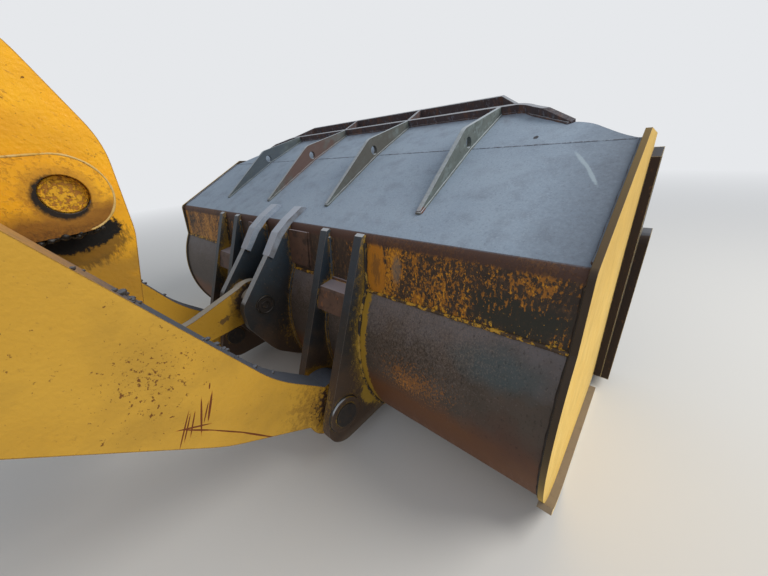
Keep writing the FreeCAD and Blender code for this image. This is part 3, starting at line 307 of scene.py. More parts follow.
finishes = {
    # Lift arms: enamel scored and pitted down to rust, with a rusty fringe along the edges and at the tip
    "armEnamel": {**armGround, "coats": enamelCoats + [
        {"colour": "#6B3D0C", "rough": 0.8, "cover": (0.722, 0.740), "height": -0.4, "depth": 0.95,
         "drivers": [(1, ("specks", 17)), (0.165, ("spot", (-0.69, -1.73, -1.20), (0.4, 0.26, 0.30), (0, 0, 0)))]},
        {"colour": "#6B3D0C", "rough": 0.8, "cover": (0.725, 0.745), "height": -0.4, "depth": 0.9,
         "drivers": [(1, ("specks", 11)), (0.155, ("spot", (-0.69, -1.79, -1.12), (0.4, 0.34, 0.24), (0, 0, 0)))]},
        {"colour": "#8A6422", "rough": 0.7, "cover": (0.62, 0.80), "depth": 0.7,
         "drivers": [(1, ("specks", 20)), (0.36, ("spot", (-0.69, -2.27, -1.72), (0.5, 0.27, 0.27), (0, 0, 0)))]},
        {"colour": "#3E2818", "rough": 0.8, "cover": (0.80, 0.90), "height": -0.4,
         "drivers": [(1, ("specks", 16)), (0.52, ("spot", (-0.69, -2.33, -1.74), (0.5, 0.22, 0.24), (0, 0, 0)))]},
        {"colour": "#A25A12", "rough": 0.8, "cover": (0.74, 1.10), "depth": 0.75,
         "drivers": scoreDrivers + [(1.0, ("specks", 12))]},
        {"colour": "#642C0A", "rough": 0.8, "cover": (1.15, 1.45), "height": -0.7, "depth": 0.95,
         "drivers": scoreDrivers + [(1.2, ("specks", 9))]},
    ] + edgeRust + [
        # the upper edge's flat: rubbed salmon near the machine, dusty and frosted towards the bucket
        {"colour": "#D39A44", "rough": 0.7, "cover": (0.45, 0.80),
         "drivers": [(1, ("facing", upward, (0.30, 0.60))), (0.3, ("specks", 22))]},
        {"colour": "#484D57", "rough": 0.85, "cover": (1.15, 1.65), "height": 0.4,
         "drivers": [(1, ("facing", upward, (0.30, 0.60))), (0.8, ("run", (-1.50, -1.85), "Y")), (0.5, ("specks", 26))]},
    ]},
    # Brackets: warmer, brighter yellow that is painted sunlight, dimpled like orange peel, gone to brown rust towards
    # the bottom and the front
    "bracketEnamel": {**paintedSunGround, "coats": paintedSunCoats + [
        {"colour": "#BC7C12", "rough": 0.6, "cover": (0.52, 0.64), "depth": 0.6, "height": -1.5,
         "drivers": [(1, ("specks", 15))]},
        {"colour": "#85551A", "rough": 0.8, "cover": (0.40, 1.0), "depth": 0.92,
         "drivers": [(1, ("run", (-0.625, -0.70), "Z")), (0.45, ("patch", 50)), (0.15, ("run", (-1.76, -1.93), "Y"))]},
        {"colour": "#5C3815", "rough": 0.85, "cover": (1.30, 1.48), "depth": 0.65,
         "drivers": [(1, ("run", (-0.62, -0.715), "Z")), (0.8, ("specks", 10))]},
        # brown halo and dark crescent behind the pin: partly old grease, partly painted shadow of the pin's recess
        {"colour": "#A5701F", "rough": 0.7, "cover": (0.28, 0.50), "depth": 0.6,
         "drivers": [(1, ("spot", (-0.32, -1.798, -0.616), (0.09, 0.115, 0.115), (0, 0, 0))), (0.3, ("specks", 9))]},
        {"colour": "#1C130A", "rough": 0.8, "cover": (0.20, 0.34),
         "drivers": [(1, ("spot", (-0.32, -1.7945, -0.6195), (0.09, 0.077, 0.077), (0, 0, 0))),
                     (0.3, ("specks", 12))]},
    ] + frostDust},
    # Bellcrank: the same warm yellow of painted sunlight, with brown wisps; a black smear of grease below the bracket,
    # olive under it
    "crankEnamel": {**paintedSunGround, "coats": paintedSunCoats + [
        {"colour": "#A0661A", "rough": 0.6, "cover": (0.59, 0.68), "depth": 0.65,
         "drivers": [(1, ("specks", 26, (1, 1.8, 0.9), (0.7, 0, 0)))]},
        {"colour": "#A87F28", "rough": 0.65, "cover": (0.55, 0.85), "depth": 0.85,
         "drivers": [(0.6, ("run", (-0.76, -0.90), "Z")), (0.6, ("patch", 70))]},
        # darker in the corners, along the bracket's edge: painted shade, partly dust
        {"colour": "#5B4524", "rough": 0.7, "cover": (0.72, 0.95), "depth": 0.7,
         "drivers": [(0.7, ("hollow", 45)), (0.5, ("specks", 20))]},
        {"colour": "#3A2A12", "rough": 0.8, "cover": (0.80, 1.05), "depth": 0.75,
         "drivers": [(1.2, ("spot", (-0.20, -1.78, -0.790), (0.2, 0.22, 0.13), (0.12, 0, 0))),
                     (1.0, ("specks", 18, (1, 1.6, 0.7)))]},
        {"colour": "#0D0A07", "rough": 0.85, "cover": (0.98, 1.10), "height": 0.8,
         "drivers": [(1.4, ("spot", (-0.20, -1.79, -0.760), (0.2, 0.20, 0.085), (0.12, 0, 0))),
                     (1.0, ("specks", 16))]},
    ] + edgeRust + frostDust},
    # Tilt link: its darker olive ground is painted shade of the arms over it; dark grease and painted shade round the
    # front eye, grey dust on top
    "linkEnamel": {**armGround, "ground": ("#A47C20", "#B0882A"), "coats": enamelCoats + [
        # dark round the front eye, between the link ears: partly old grease, partly painted shade
        {"colour": "#2B2018", "rough": 0.7, "cover": (0.60, 0.85), "height": 0.3,
         "drivers": [(1, ("spot", (0, -2.379, -1.342), (0.6, 0.22, 0.22), (0, 0, 0))), (0.6, ("specks", 22))]},
        {"colour": "#4E3A22", "rough": 0.8, "cover": (0.98, 1.10), "depth": 0.85,
         "drivers": [(0.9, ("spot", (-0.03, -2.185, -1.386), (0.2, 0.09, 0.035), (0.3, 0, 0))),
                     (1, ("specks", 16))]},
        {"colour": "#9C978C", "rough": 0.85, "cover": (0.60, 0.95), "height": 0.3,
         "drivers": [(1, ("facing", upward, (0.35, 0.75))), (0.5, ("patch", 50))]},
    ] + edgeRust},
    # Cast and turned steel left unpainted, black brown with old grease and dust
    "greasyCasting": {
        "ground": ("#211E1C", "#302924"), "cloud": ("patch", 40), "rough": 0.55, "grain": (5, 0.4),
        "coats": [
            {"colour": "#54422F", "rough": 0.8, "cover": (0.57, 0.66), "depth": 0.8, "drivers": [(1, ("specks", 22))]},
            {"colour": "#4B4540", "rough": 0.7, "cover": (0.55, 1.0), "depth": 0.8,
             "drivers": [(1, ("edge", 5)), (0.4, ("specks", 14))]},
        ]},
    # Pivot pin's end: the last yellow coat breaking up over orange rust, pitted
    "rustedPin": {
        "ground": ("#AB6F22", "#BE842F"), "cloud": ("patch", 30), "rough": 0.6, "grain": (3, 0.5),
        "coats": [
            {"colour": "#EDB222", "rough": 0.5, "cover": (0.46, 0.51), "height": 0.8,
             "drivers": [(1, ("specks", 12))]},
            {"colour": "#4A2E18", "rough": 0.85, "cover": (0.60, 0.66), "height": -0.6,
             "drivers": [(1, ("specks", 12, (1, 1.3, 1)))]},
            {"colour": "#E6C480", "rough": 0.5, "cover": (0.64, 0.70), "height": 0.5, "depth": 0.8,
             "drivers": [(1, ("specks", 10))]},
        ]},
    # Cream line along the bracket's end: a painted highlight of its rounded rim
    "paintedHighlightRim": {
        "ground": ("#E2C98E", "#D2A84E"), "cloud": ("patch", 30), "rough": 0.5, "grain": (2, 0.2),
        "coats": [
            {"colour": "#9C6A2C", "rough": 0.7, "cover": (0.58, 0.68), "drivers": [(1, ("specks", 14))]},
        ]},
    # Hot rolled sheet under morning frost: pale blue grey crystals, thinner towards the sides and the lip
    "frostedSheet": {
        "ground": ("#8797A9", "#8F9FB0"), "cloud": ("patch", 260), "rough": 0.75, "grain": (4, 0.35),
        "coats": [
            {"colour": "#75808F", "rough": 0.8, "cover": (0.50, 0.70), "depth": 0.5, "drivers": [(1, ("patch", 90))]},
            {"colour": "#A2B0C0", "rough": 0.8, "cover": (0.52, 0.66), "depth": 0.5, "drivers": [(1, ("specks", 7))]},
            {"colour": "#59626F", "rough": 0.8, "cover": (0.54, 0.70), "depth": 0.45,
             "drivers": [(1, ("specks", 10))]},
            {"colour": "#565F6C", "rough": 0.8, "cover": (0.42, 1.05), "depth": 0.75,
             "drivers": [(0.75, ("run", (-1.38, -1.66), "X")), (0.6, ("specks", 16)), (0.2, ("patch", 200))]},
            {"colour": "#6B6265", "rough": 0.8, "cover": (0.55, 1.0), "depth": 0.5,
             "drivers": [(0.6, ("run", (-3.36, -3.68), "Y")), (0.5, ("patch", 90))]},
            {"colour": "#A9BAC4", "rough": 0.8, "cover": (0.95, 1.5), "depth": 0.6,
             "drivers": rubDrivers + [(1.2, ("specks", 8))]},
            {"colour": "#34343A", "rough": 0.8, "cover": (0.6, 0.8),
             "drivers": [(1, ("spot", (-1.25, -3.34, -0.608), (0.02, 0.028, 0.05), (0, 0, 0))), (0.5, ("specks", 10))]},
            # what doesn't face the sky stays brown
            {"colour": "#463A36", "rough": 0.75, "cover": (0.35, 0.65),
             "drivers": [(-1, ("facing", upward, (0.45, 0.80))), (1, ("run", (-10, -9), "Z"))]},
        ]},
    # Lip and spill guard: purple brown rust run over by frost, with a pale crest along the top edges
    "frostedLip": {
        "ground": ("#43393C", "#4E4344"), "cloud": ("patch", 60, (1, 1, 0.3)), "rough": 0.75, "grain": (4, 0.35),
        "coats": [
            {"colour": "#66493C", "rough": 0.75, "cover": (0.52, 0.62), "depth": 0.8,
             "drivers": [(1, ("specks", 40, (1, 1, 0.3)))]},
            {"colour": "#7C8490", "rough": 0.8, "cover": (0.56, 0.64), "depth": 0.55,
             "drivers": [(1, ("specks", 16, (1, 1, 0.35)))]},
            {"colour": "#9DA1A8", "rough": 0.8, "cover": (0.65, 1.0), "height": 0.3,
             "drivers": [(1, ("facing", upward, (0.60, 0.92))), (0.35, ("specks", 12))]},
        ]},
    # The back band: brown black rust under flakes of orange yellow paint, solid beside the outer hinge ears
    "wornBand": {
        "ground": ("#2D241D", "#3A2E26"), "cloud": ("patch", 90), "rough": 0.72, "grain": (4, 0.5),
        "coats": [
            {"colour": "#5C4531", "rough": 0.75, "cover": (0.52, 0.60), "depth": 0.65,
             "drivers": [(1, ("specks", 15, (1, 1, 0.5)))]},
            # greener black towards the corner by the side plate
            {"colour": "#22241D", "rough": 0.7, "cover": (0.60, 1.0), "depth": 0.85,
             "drivers": [(1, ("spot", (-1.47, -2.62, -1.12), (0.36, 0.5, 0.14), (0, 0, 0))), (0.6, ("patch", 70))]},
            # flakes of paint, drawn out down the band, first dull and then bright
            {"colour": "#94601E", "rough": 0.6, "cover": (0.765, 0.80), "height": 0.5,
             "drivers": [(1, ("specks", 12, (1, 1, 0.55))), (0.40, ("patch", 90, (1, 1, 0.35))),
                         (0.09, ("run", (-1.64, -0.85), "X")),
                         (-0.35, ("spot", (0, -2.62, -1.08), (0.92, 1.5, 1.5), (0, 0, 0))),
                         (-0.10, ("spot", (-1.50, -2.62, -1.15), (0.25, 0.5, 0.12), (0, 0, 0)))]},
            {"colour": "#C4861F", "rough": 0.5, "cover": (0.825, 0.85), "height": 0.4,
             "drivers": [(1, ("specks", 9, (1, 1, 0.6))), (0.40, ("patch", 90, (1, 1, 0.35))),
                         (0.09, ("run", (-1.64, -0.85), "X")),
                         (-0.35, ("spot", (0, -2.62, -1.08), (0.92, 1.5, 1.5), (0, 0, 0))),
                         (-0.10, ("spot", (-1.50, -2.62, -1.15), (0.25, 0.5, 0.12), (0, 0, 0)))]},
            # thicker yellow left along the seam
            {"colour": "#C9982A", "rough": 0.5, "cover": (0.74, 0.78), "height": 0.5,
             "drivers": [(1, ("specks", 15, (1, 1, 0.7))), (0.19, ("run", (-1.08, -1.19), "Z")),
                         (-0.2, ("spot", (0, -2.62, -1.08), (0.92, 1.5, 1.5), (0, 0, 0)))]},
            # a solid stretch of paint beside the outer hinge ears, and a grey rub next to it
            {"colour": "#B0721E", "rough": 0.5, "cover": (0.72, 0.84), "height": 0.5,
             "drivers": [(1.1, ("spot", (-0.835, -2.62, -1.08), (0.085, 0.5, 0.20), (0, 0, 0))),
                         (1.1, ("spot", (0.835, -2.62, -1.08), (0.085, 0.5, 0.20), (0, 0, 0))),
                         (0.8, ("specks", 14, (1, 1, 0.3)))]},
            {"colour": "#7C5424", "rough": 0.6, "cover": (1.12, 1.24), "depth": 0.8,
             "drivers": [(0.9, ("spot", (-0.835, -2.62, -1.08), (0.085, 0.5, 0.20), (0, 0, 0))),
                         (1.1, ("specks", 11, (1, 1, 0.25)))]},
            {"colour": "#66615A", "rough": 0.7, "cover": (0.72, 1.0), "depth": 0.7,
             "drivers": [(1, ("spot", (-0.955, -2.62, -1.06), (0.05, 0.5, 0.12), (0, 0, 0))), (0.7, ("specks", 14))]},
            # bare brown along the bend, then a breath of frost on its round
            {"colour": "#49332B", "rough": 0.75, "cover": (0.80, 1.1), "depth": 0.9,
             "drivers": [(1, ("run", (-1.005, -0.96), "Z")), (0.4, ("specks", 14))]},
            {"colour": "#717C8B", "rough": 0.85, "cover": (0.80, 1.15), "depth": 0.8,
             "drivers": [(1, ("facing", upward, (0.66, 0.92))), (0.4, ("specks", 12))]},
        ]},
    # Weld metal between band and heel, yellow and brown
    "seamMetal": {
        "ground": ("#3B2E22", "#4B3927"), "cloud": ("patch", 60), "rough": 0.65, "grain": (3, 0.5),
        "coats": [
            {"colour": "#BD8F2A", "rough": 0.55, "cover": (0.54, 0.58), "height": 0.4,
             "drivers": [(1, ("specks", 24)), (0.05, ("run", (-1.64, -0.9), "X"))]},
        ]},
    # Blocks, pads and wear pieces between the ears: brown rust, pinkish frost on top, orange runs
    "blockRust": {
        "ground": ("#4D3A30", "#5D4538"), "cloud": ("patch", 60), "rough": 0.65, "grain": (4, 0.3),
        "coats": [
            {"colour": "#2F2520", "rough": 0.7, "cover": (0.52, 0.66), "depth": 0.8, "drivers": [(1, ("patch", 45))]},
            {"colour": "#8E5A36", "rough": 0.7, "cover": (0.60, 0.68), "depth": 0.7,
             "drivers": [(1, ("specks", 22, (1, 1, 0.4)))]},
            {"colour": "#968C90", "rough": 0.8, "cover": (0.62, 0.95), "height": 0.3,
             "drivers": [(1, ("facing", (0, -0.2, 0.98), (0.55, 0.9))), (0.4, ("specks", 14))]},
        ]},
    # The rolled heel: grey violet bloom near the seam, brown black grain, bare rust brown where it rubs lower down
    "rubbedHeel": {
        "ground": ("#40372F", "#4B4038"), "cloud": ("patch", 110), "rough": 0.6, "grain": (4, 0.35),
        "coats": [
            {"colour": "#625E61", "rough": 0.65, "cover": (0.58, 0.95), "depth": 0.8,
             "drivers": [(0.65, ("run", (-1.48, -1.20), "Z")), (0.6, ("patch", 70))]},
            # cold patch in the middle
            {"colour": "#3C484B", "rough": 0.55, "cover": (0.55, 1.0), "depth": 0.85,
             "drivers": [(1, ("spot", (-1.44, -2.56, -1.31), (0.30, 0.5, 0.14), (0, 0, 0))), (0.5, ("patch", 60))]},
            # rust where it rubs, darker red towards the corner
            {"colour": "#603A1C", "rough": 0.6, "cover": (0.50, 0.95), "depth": 0.95,
             "drivers": [(1, ("run", (-1.49, -1.70), "Z")), (0.4, ("patch", 100))]},
            {"colour": "#4A2B1B", "rough": 0.6, "cover": (0.78, 1.18), "depth": 0.75,
             "drivers": [(1, ("spot", (-1.52, -2.55, -1.60), (0.36, 0.5, 0.32), (0, 0, 0))), (0.6, ("patch", 90))]},
            # grain: pale and black crystals
            {"colour": "#7C7069", "rough": 0.65, "cover": (0.58, 0.74), "depth": 0.5,
             "drivers": [(1, ("specks", 6, (1, 1, 0.7))), (0.14, ("run", (-1.62, -1.30), "Z")),
                         (-0.12, ("run", (-1.30, -1.60), "X"))]},
            {"colour": "#1C1714", "rough": 0.7, "cover": (0.56, 0.68), "depth": 0.65,
             "drivers": [(1, ("specks", 10, (1, 1, 0.7))), (-0.10, ("run", (-1.58, -1.75), "Z")),
                         (0.12, ("spot", (-1.05, -2.53, -1.42), (0.40, 0.5, 0.20), (0, 0, 0)))]},
            # orange specks in one patch
            {"colour": "#8B5A28", "rough": 0.65, "cover": (0.70, 0.78), "height": 0.2, "depth": 0.8,
             "drivers": [(1, ("specks", 8, (1, 1, 0.6))),
                         (0.30, ("spot", (-1.10, -2.51, -1.52), (0.38, 0.5, 0.19), (0, 0, 0)))]},
            {"colour": "#B5782E", "rough": 0.6, "cover": (0.79, 0.84), "height": 0.2, "depth": 0.85,
             "drivers": [(1, ("specks", 9, (1, 1, 0.6))),
                         (0.30, ("spot", (-1.05, -2.51, -1.55), (0.28, 0.5, 0.15), (0, 0, 0)))]},
            # faint streaks down the rubbed part
            {"colour": "#6F4A33", "rough": 0.55, "cover": (0.92, 1.05), "depth": 0.5,
             "drivers": [(1, ("specks", 30, (1, 0.2, 0.2))), (0.42, ("run", (-1.60, -1.80), "Z"))]},
            # yellow paint left beside the outer hinge ears, on the outside of the sheet only
            {"colour": "#9C7A28", "rough": 0.55, "cover": (2.12, 2.22), "height": 0.4,
             "drivers": [(1, ("facing", (0, 1, 0), (-0.02, 0.02))),
                         (1, ("spot", (-0.795, -2.55, -1.45), (0.05, 1.2, 1.2), (0, 0, 0))),
                         (1, ("spot", (0.795, -2.55, -1.45), (0.05, 1.2, 1.2), (0, 0, 0))), (1.2, ("specks", 13))]},
            # dust along the foot
            {"colour": "#7E6D5B", "rough": 0.8, "cover": (0.80, 1.15), "depth": 0.85,
             "drivers": [(1, ("run", (-1.88, -1.98), "Z")), (0.5, ("specks", 18))]},
        ]},
    # Side plates: dark brown on their edges, which is partly painted shade; their outward faces scoured by gravel,
    # powdered with sand and painted pale gold, partly as low sunlight, with a dust sheen that glows pale gold where the
    # eye skims the plate; fine upright scratches, freckles and a few stains of rust
    "sandedAndSunlitSide": {
        "ground": ("#241912", "#2F2119"), "cloud": ("patch", 120), "rough": 0.65, "grain": (3, 0.25),
        "dust": {"weight": 0.85, "colour": "#FFD770"},
        "coats": [
            # pale gold on the outward faces: partly scoured steel, partly painted sunlight
            {"colour": "#E2B660", "rough": 0.55, "metal": 0.05, "cover": (0.60, 0.75),
             "drivers": [(1, ("across", 0.5))]},
            {"colour": "#9F7C4E", "rough": 0.65, "cover": (1.46, 1.76), "depth": 0.6,
             "drivers": [(1, ("across", 0.5)), (0.7, ("patch", 210)), (0.4, ("specks", 60))]},
            {"colour": "#A89B7E", "rough": 0.4, "metal": 0.2, "cover": (1.45, 2.10), "depth": 0.75,
             "drivers": [(1, ("across", 0.5)), (0.7, ("run", (-2.95, -3.60), "Y")), (0.5, ("patch", 110))]},
            {"colour": "#FBE096", "rough": 0.45, "cover": (1.49, 1.62), "depth": 0.7,
             "drivers": [(1, ("across", 0.5)), (1, ("specks", 16, (1, 1, 0.16), (-0.22, 0, 0)))]},
            {"colour": "#7A5A38", "rough": 0.7, "cover": (1.64, 1.70), "depth": 0.6,
             "drivers": [(1, ("across", 0.5)), (1, ("specks", 10, (1, 1, 0.09), (-0.12, 0, 0)))]},
            {"colour": "#6B4120", "rough": 0.8, "cover": (1.66, 1.71), "depth": 0.75,
             "drivers": [(1, ("across", 0.5)), (1, ("specks", 18))]},
            {"colour": "#8C6238", "rough": 0.7, "cover": (1.42, 1.95), "depth": 0.7,
             "drivers": [(1, ("across", 0.5)), (0.6, ("run", (-1.50, -0.95), "Z")), (0.4, ("patch", 70))]},
        ]},
    # Side cutters and corner guards: blue grey wear steel; dark brown on the faces turned rearward, which is painted
    # shade; paler on the outward faces and along the front edge, partly rubbed steel and partly painted sunlight and
    # highlight
    "wearCastingWithPaintedLight": {
        "ground": ("#3D4048", "#4A4B4F"), "cloud": ("patch", 100, (1, 1, 0.3)), "rough": 0.5, "grain": (3, 0.25),
        "metal": 0.2,
        "coats": [
            # dark brown on the faces turned rearward: painted shade
            {"colour": "#2F231C", "rough": 0.75, "cover": (0.55, 0.75),
             "drivers": [(1, ("facing", (0, 1, 0), (0.2, 0.8))), (0.2, ("patch", 80))]},
            # paler outward faces: partly rubbed steel, partly painted sunlight
            {"colour": "#8F8878", "rough": 0.4, "metal": 0.35, "cover": (0.76, 0.92), "depth": 0.6,
             "drivers": [(0.6, ("across", 0.5)), (0.4, ("specks", 15, (1, 1, 0.4)))]},
            {"colour": "#6A4526", "rough": 0.75, "metal": 0.0, "cover": (0.60, 0.70), "depth": 0.7,
             "drivers": [(1, ("specks", 26))]},
            # pale front edge: partly rubbed steel, partly painted highlight
            {"colour": "#DCC48C", "rough": 0.45, "cover": (0.6, 0.95), "drivers": [(1, ("edge", 6)),
                                                                                  (0.3, ("specks", 20))]},
        ]},
    "darkEar": {"ground": ("#1F2326", "#2B2827"), "cloud": ("patch", 90), "rough": 0.55, "grain": (4, 0.35),
                "coats": earCoats + earFrost},
    # The outer hinge ears also keep thick yellow paint where they meet the sheets, and dust at the low end
    "paintedEar": {"ground": ("#242525", "#302C29"), "cloud": ("patch", 90), "rough": 0.55, "grain": (4, 0.35),
                   "coats": earCoats + [
        {"colour": "#A5842E", "rough": 0.55, "cover": (1.05, 1.13), "height": 0.6,
         "drivers": [(0.75, ("hollow", 120)), (1.2, ("specks", 15, (1, 1, 0.6)))]},
        {"colour": "#A5852C", "rough": 0.6, "cover": (0.98, 1.08), "height": 0.5,
         "drivers": [(1.1, ("spot", (-0.77, -2.545, -1.80), (0.2, 0.11, 0.17), (0.5, 0, 0))),
                     (1, ("specks", 15))]},
        {"colour": "#5E5144", "rough": 0.8, "cover": (0.75, 1.05), "depth": 0.8,
         "drivers": [(0.9, ("run", (-1.86, -1.95), "Z")), (0.5, ("specks", 18))]},
    ] + earFrost},
    # Weld metal along the outer ears, still thick with yellow paint
    "paintedWeld": {
        "ground": ("#8A6C28", "#A5832E"), "cloud": ("patch", 30), "rough": 0.55, "grain": (3, 0.5),
        "coats": [
            {"colour": "#241D17", "rough": 0.7, "cover": (0.46, 0.52), "height": -0.4,
             "drivers": [(1, ("specks", 26, (1, 1, 0.5))), (0.06, ("run", (-1.4, -0.95), "Z"))]},
        ]},
    # Gusset plates: grey green scale with frost, each with its own share of rust
    "gussetPlate": {
        "ground": ("#4F5856", "#5C6462"), "cloud": ("patch", 70), "rough": 0.7, "grain": (4, 0.35),
        "coats": [
            {"colour": "#6F7C7E", "rough": 0.75, "cover": (0.50, 0.62), "depth": 0.7,
             "drivers": [(1, ("specks", 40, (1, 0.4, 1), (bucket["topSlope"], 0, 0)))]},
            {"colour": "#3E3D3B", "rough": 0.75, "cover": (0.54, 0.66), "depth": 0.7,
             "drivers": [(1, ("specks", 22))]},
            {"colour": "#5A4540", "rough": 0.75, "cover": (0.85, 1.10), "depth": 0.9,
             "drivers": [(1, ("spot", (0.31, -3.2, -0.65), (0.14, 1.2, 1.2), (0, 0, 0))), (0.5, ("patch", 60))]},
            {"colour": "#4B4843", "rough": 0.75, "cover": (0.80, 1.10), "depth": 0.8,
             "drivers": [(1, ("spot", (-0.33, -3.2, -0.65), (0.16, 1.2, 1.2), (0, 0, 0))), (0.5, ("patch", 60))]},
            {"colour": "#414D59", "rough": 0.7, "cover": (0.75, 1.05), "depth": 0.85,
             "drivers": [(1, ("spot", (0.96, -3.2, -0.65), (0.16, 1.2, 1.2), (0, 0, 0))), (0.4, ("patch", 60))]},
            {"colour": "#5A3326", "rough": 0.75, "cover": (0.80, 1.0), "height": 0.3,
             "drivers": [(1, ("spot", (-0.957, -2.83, -0.85), (0.3, 0.06, 0.05), (0, 0, 0))), (0.5, ("specks", 18))]},
            {"colour": "#A6AFB6", "rough": 0.8, "cover": (0.70, 1.05), "height": 0.3,
             "drivers": [(1, ("facing", upward, (0.45, 0.9))), (0.4, ("specks", 12))]},
        ]},
    # Cap bars under thick frost
    "frostedBar": {
        "ground": ("#8490A0", "#909CAC"), "cloud": ("patch", 50), "rough": 0.75, "grain": (4, 0.35),
        "coats": [
            {"colour": "#A6B0BE", "rough": 0.8, "cover": (0.35, 0.70), "height": 0.3,
             "drivers": [(1, ("facing", (0, 0.7, 0.7), (0.0, 0.5))), (0.35, ("specks", 12))]},
            {"colour": "#B2BBC8", "rough": 0.8, "cover": (0.54, 0.66), "depth": 0.5, "drivers": [(1, ("specks", 8))]},
            {"colour": "#54504F", "rough": 0.75, "cover": (0.62, 0.80), "depth": 0.8,
             "drivers": [(0.6, ("across", 0.5)), (0.3, ("patch", 60))]},
        ]},
    # Weld metal round the cap bars and along the fold, dark under the frost
    "frostedWeld": {
        "ground": ("#5E646E", "#6C747F"), "cloud": ("patch", 40), "rough": 0.75, "grain": (3, 0.4),
        "coats": [
            {"colour": "#93A0AF", "rough": 0.8, "cover": (0.48, 0.62), "drivers": [(1, ("specks", 14))]},
        ]},
    # Cutting edge, wear plates and runners: alloy steel rubbed pale by gravel; the pale of the outward faces is partly
    # painted sunlight
    "rubbedAndSunlitEdge": {
        "ground": ("#6E6152", "#84745E"), "cloud": ("patch", 80, (1, 0.3, 1)), "rough": 0.45, "grain": (3, 0.2),
        "metal": 0.3,
        "coats": [
            {"colour": "#4C3A2E", "rough": 0.7, "metal": 0.0, "cover": (0.54, 0.66), "depth": 0.8,
             "drivers": [(1, ("specks", 40))]},
            # pale on the outward faces: partly rubbed steel, partly painted sunlight
            {"colour": "#F0D69C", "rough": 0.5, "cover": (0.60, 0.85), "depth": 0.95,
             "drivers": [(0.9, ("across", 0.5)), (0.2, ("specks", 30, (1, 1, 0.2)))]},
            {"colour": "#857660", "rough": 0.8, "metal": 0.0, "cover": (0.8, 1.2), "depth": 0.7,
             "drivers": [(1, ("facing", upward, (0.3, 0.8))), (0.5, ("patch", 50))]},
        ]},
    # Quarry dirt frozen on: dark grey brown soil with frost on its tops
    "frozenDirt": {
        "ground": ("#35312F", "#47403B"), "cloud": ("patch", 20), "rough": 0.9, "grain": (5, 0.9),
        "coats": [
            {"colour": "#636872", "rough": 0.9, "cover": (0.85, 1.15), "depth": 0.85,
             "drivers": [(1, ("facing", upward, (0.2, 0.9))), (0.45, ("specks", 10))]},
        ]},
    # Old grease with grit in it, almost black and a little wet
    "blackGrease": {
        "ground": ("#100D0A", "#201A14"), "cloud": ("patch", 14), "rough": 0.45, "grain": (4, 0.9), "sheen": 0.4,
        "coats": [
            {"colour": "#5B5142", "rough": 0.8, "cover": (0.64, 0.69), "height": 0.6,
             "drivers": [(1, ("specks", 10))]},
        ]},
}
materials = {name: makeFinish(name, finish) for name, finish in finishes.items()}

nodeFinish = {
    "armEnamel": ["right_lift_arm", "left_lift_arm", "cross_tube"],
    "bracketEnamel": ["right_pivot_bracket", "left_pivot_bracket"],
    "crankEnamel": ["right_bellcrank_plate", "left_bellcrank_plate", "bellcrank_hub", "bellcrank_web"],
    "linkEnamel": ["tilt_link"],
    "greasyCasting": ["link_front_pin", "right_hinge_pin", "left_hinge_pin"],
    "rustedPin": ["pivot_pin"],
    "frostedSheet": ["top_sheet", "front_plate"],
    "frostedLip": ["top_lip", "spill_guard", "right_guard_rib", "left_guard_rib"],
    "wornBand": ["back_band"],
    "blockRust": ["right_stop_block", "left_stop_block", "right_pad_plate", "left_pad_plate"],
    "rubbedHeel": ["heel_and_floor"],
    "sandedAndSunlitSide": ["right_side_plate", "left_side_plate"],
    "wearCastingWithPaintedLight": ["right_side_cutter", "left_side_cutter", "right_corner_guard", "left_corner_guard"],
    "paintedEar": ["right_outer_hinge_ear", "left_outer_hinge_ear"],
    "darkEar": ["right_inner_hinge_ear", "left_inner_hinge_ear", "right_link_ear", "left_link_ear"],
    "gussetPlate": ["outer_right_gusset", "inner_right_gusset", "inner_left_gusset", "outer_left_gusset"],
    "frostedBar": ["right_cap_bar", "left_cap_bar"],
    "rubbedAndSunlitEdge": ["cutting_edge", "right_wear_plate", "left_wear_plate", "right_runner", "left_runner"],
}
for finish, nodes in nodeFinish.items():
    for node in nodes:
        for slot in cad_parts[node].material_slots:
            slot.material = materials[finish]
print("finishes made")


# Puts closed pieces, given as (points, faces), into one mesh that rides on a body
def makePiece(name, body, finish, parts):
    points, faces, count = [], [], 0
    for partPoints, partFaces in parts:
        points.append(partPoints)
        faces += [tuple(count + i for i in face) for face in partFaces.tolist()] if isinstance(partFaces, np.ndarray) \
            else [tuple(count + i for i in face) for face in partFaces]
        count += len(partPoints)
    mesh = bpy.data.meshes.new(name)
    mesh.from_pydata(np.concatenate(points), [], faces)
    mesh.polygons.foreach_set("use_smooth", [True] * len(mesh.polygons))
    mesh.materials.append(materials[finish])
    piece = bpy.data.objects.new(name, mesh)
    bpy.context.scene.collection.objects.link(piece)
    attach(piece, body)
    return piece


# Faces of a grid that closes on itself round its second way, with a fan at each end of its first way
def tubeFaces(rings, sides):
    ring, side = np.meshgrid(np.arange(rings - 1), np.arange(sides), indexing="ij")
    after = (side + 1) % sides
    quads = np.stack([ring * sides + side, (ring + 1) * sides + side, (ring + 1) * sides + after,
                      ring * sides + after], axis=-1).reshape(-1, 4)
    low, high = rings * sides, rings * sides + 1
    around = np.arange(sides)
    nextAround = (around + 1) % sides
    last = (rings - 1) * sides
    fans = [(low, int(a), int(b)) for a, b in zip(around, nextAround)]
    fans += [(high, int(last + b), int(last + a)) for a, b in zip(around, nextAround)]
    return [tuple(q) for q in quads.tolist()] + fans


weld = {"pitch": 0.010, "step": 0.0045, "sides": 7, "ripple": 0.10, "wander": 0.18}


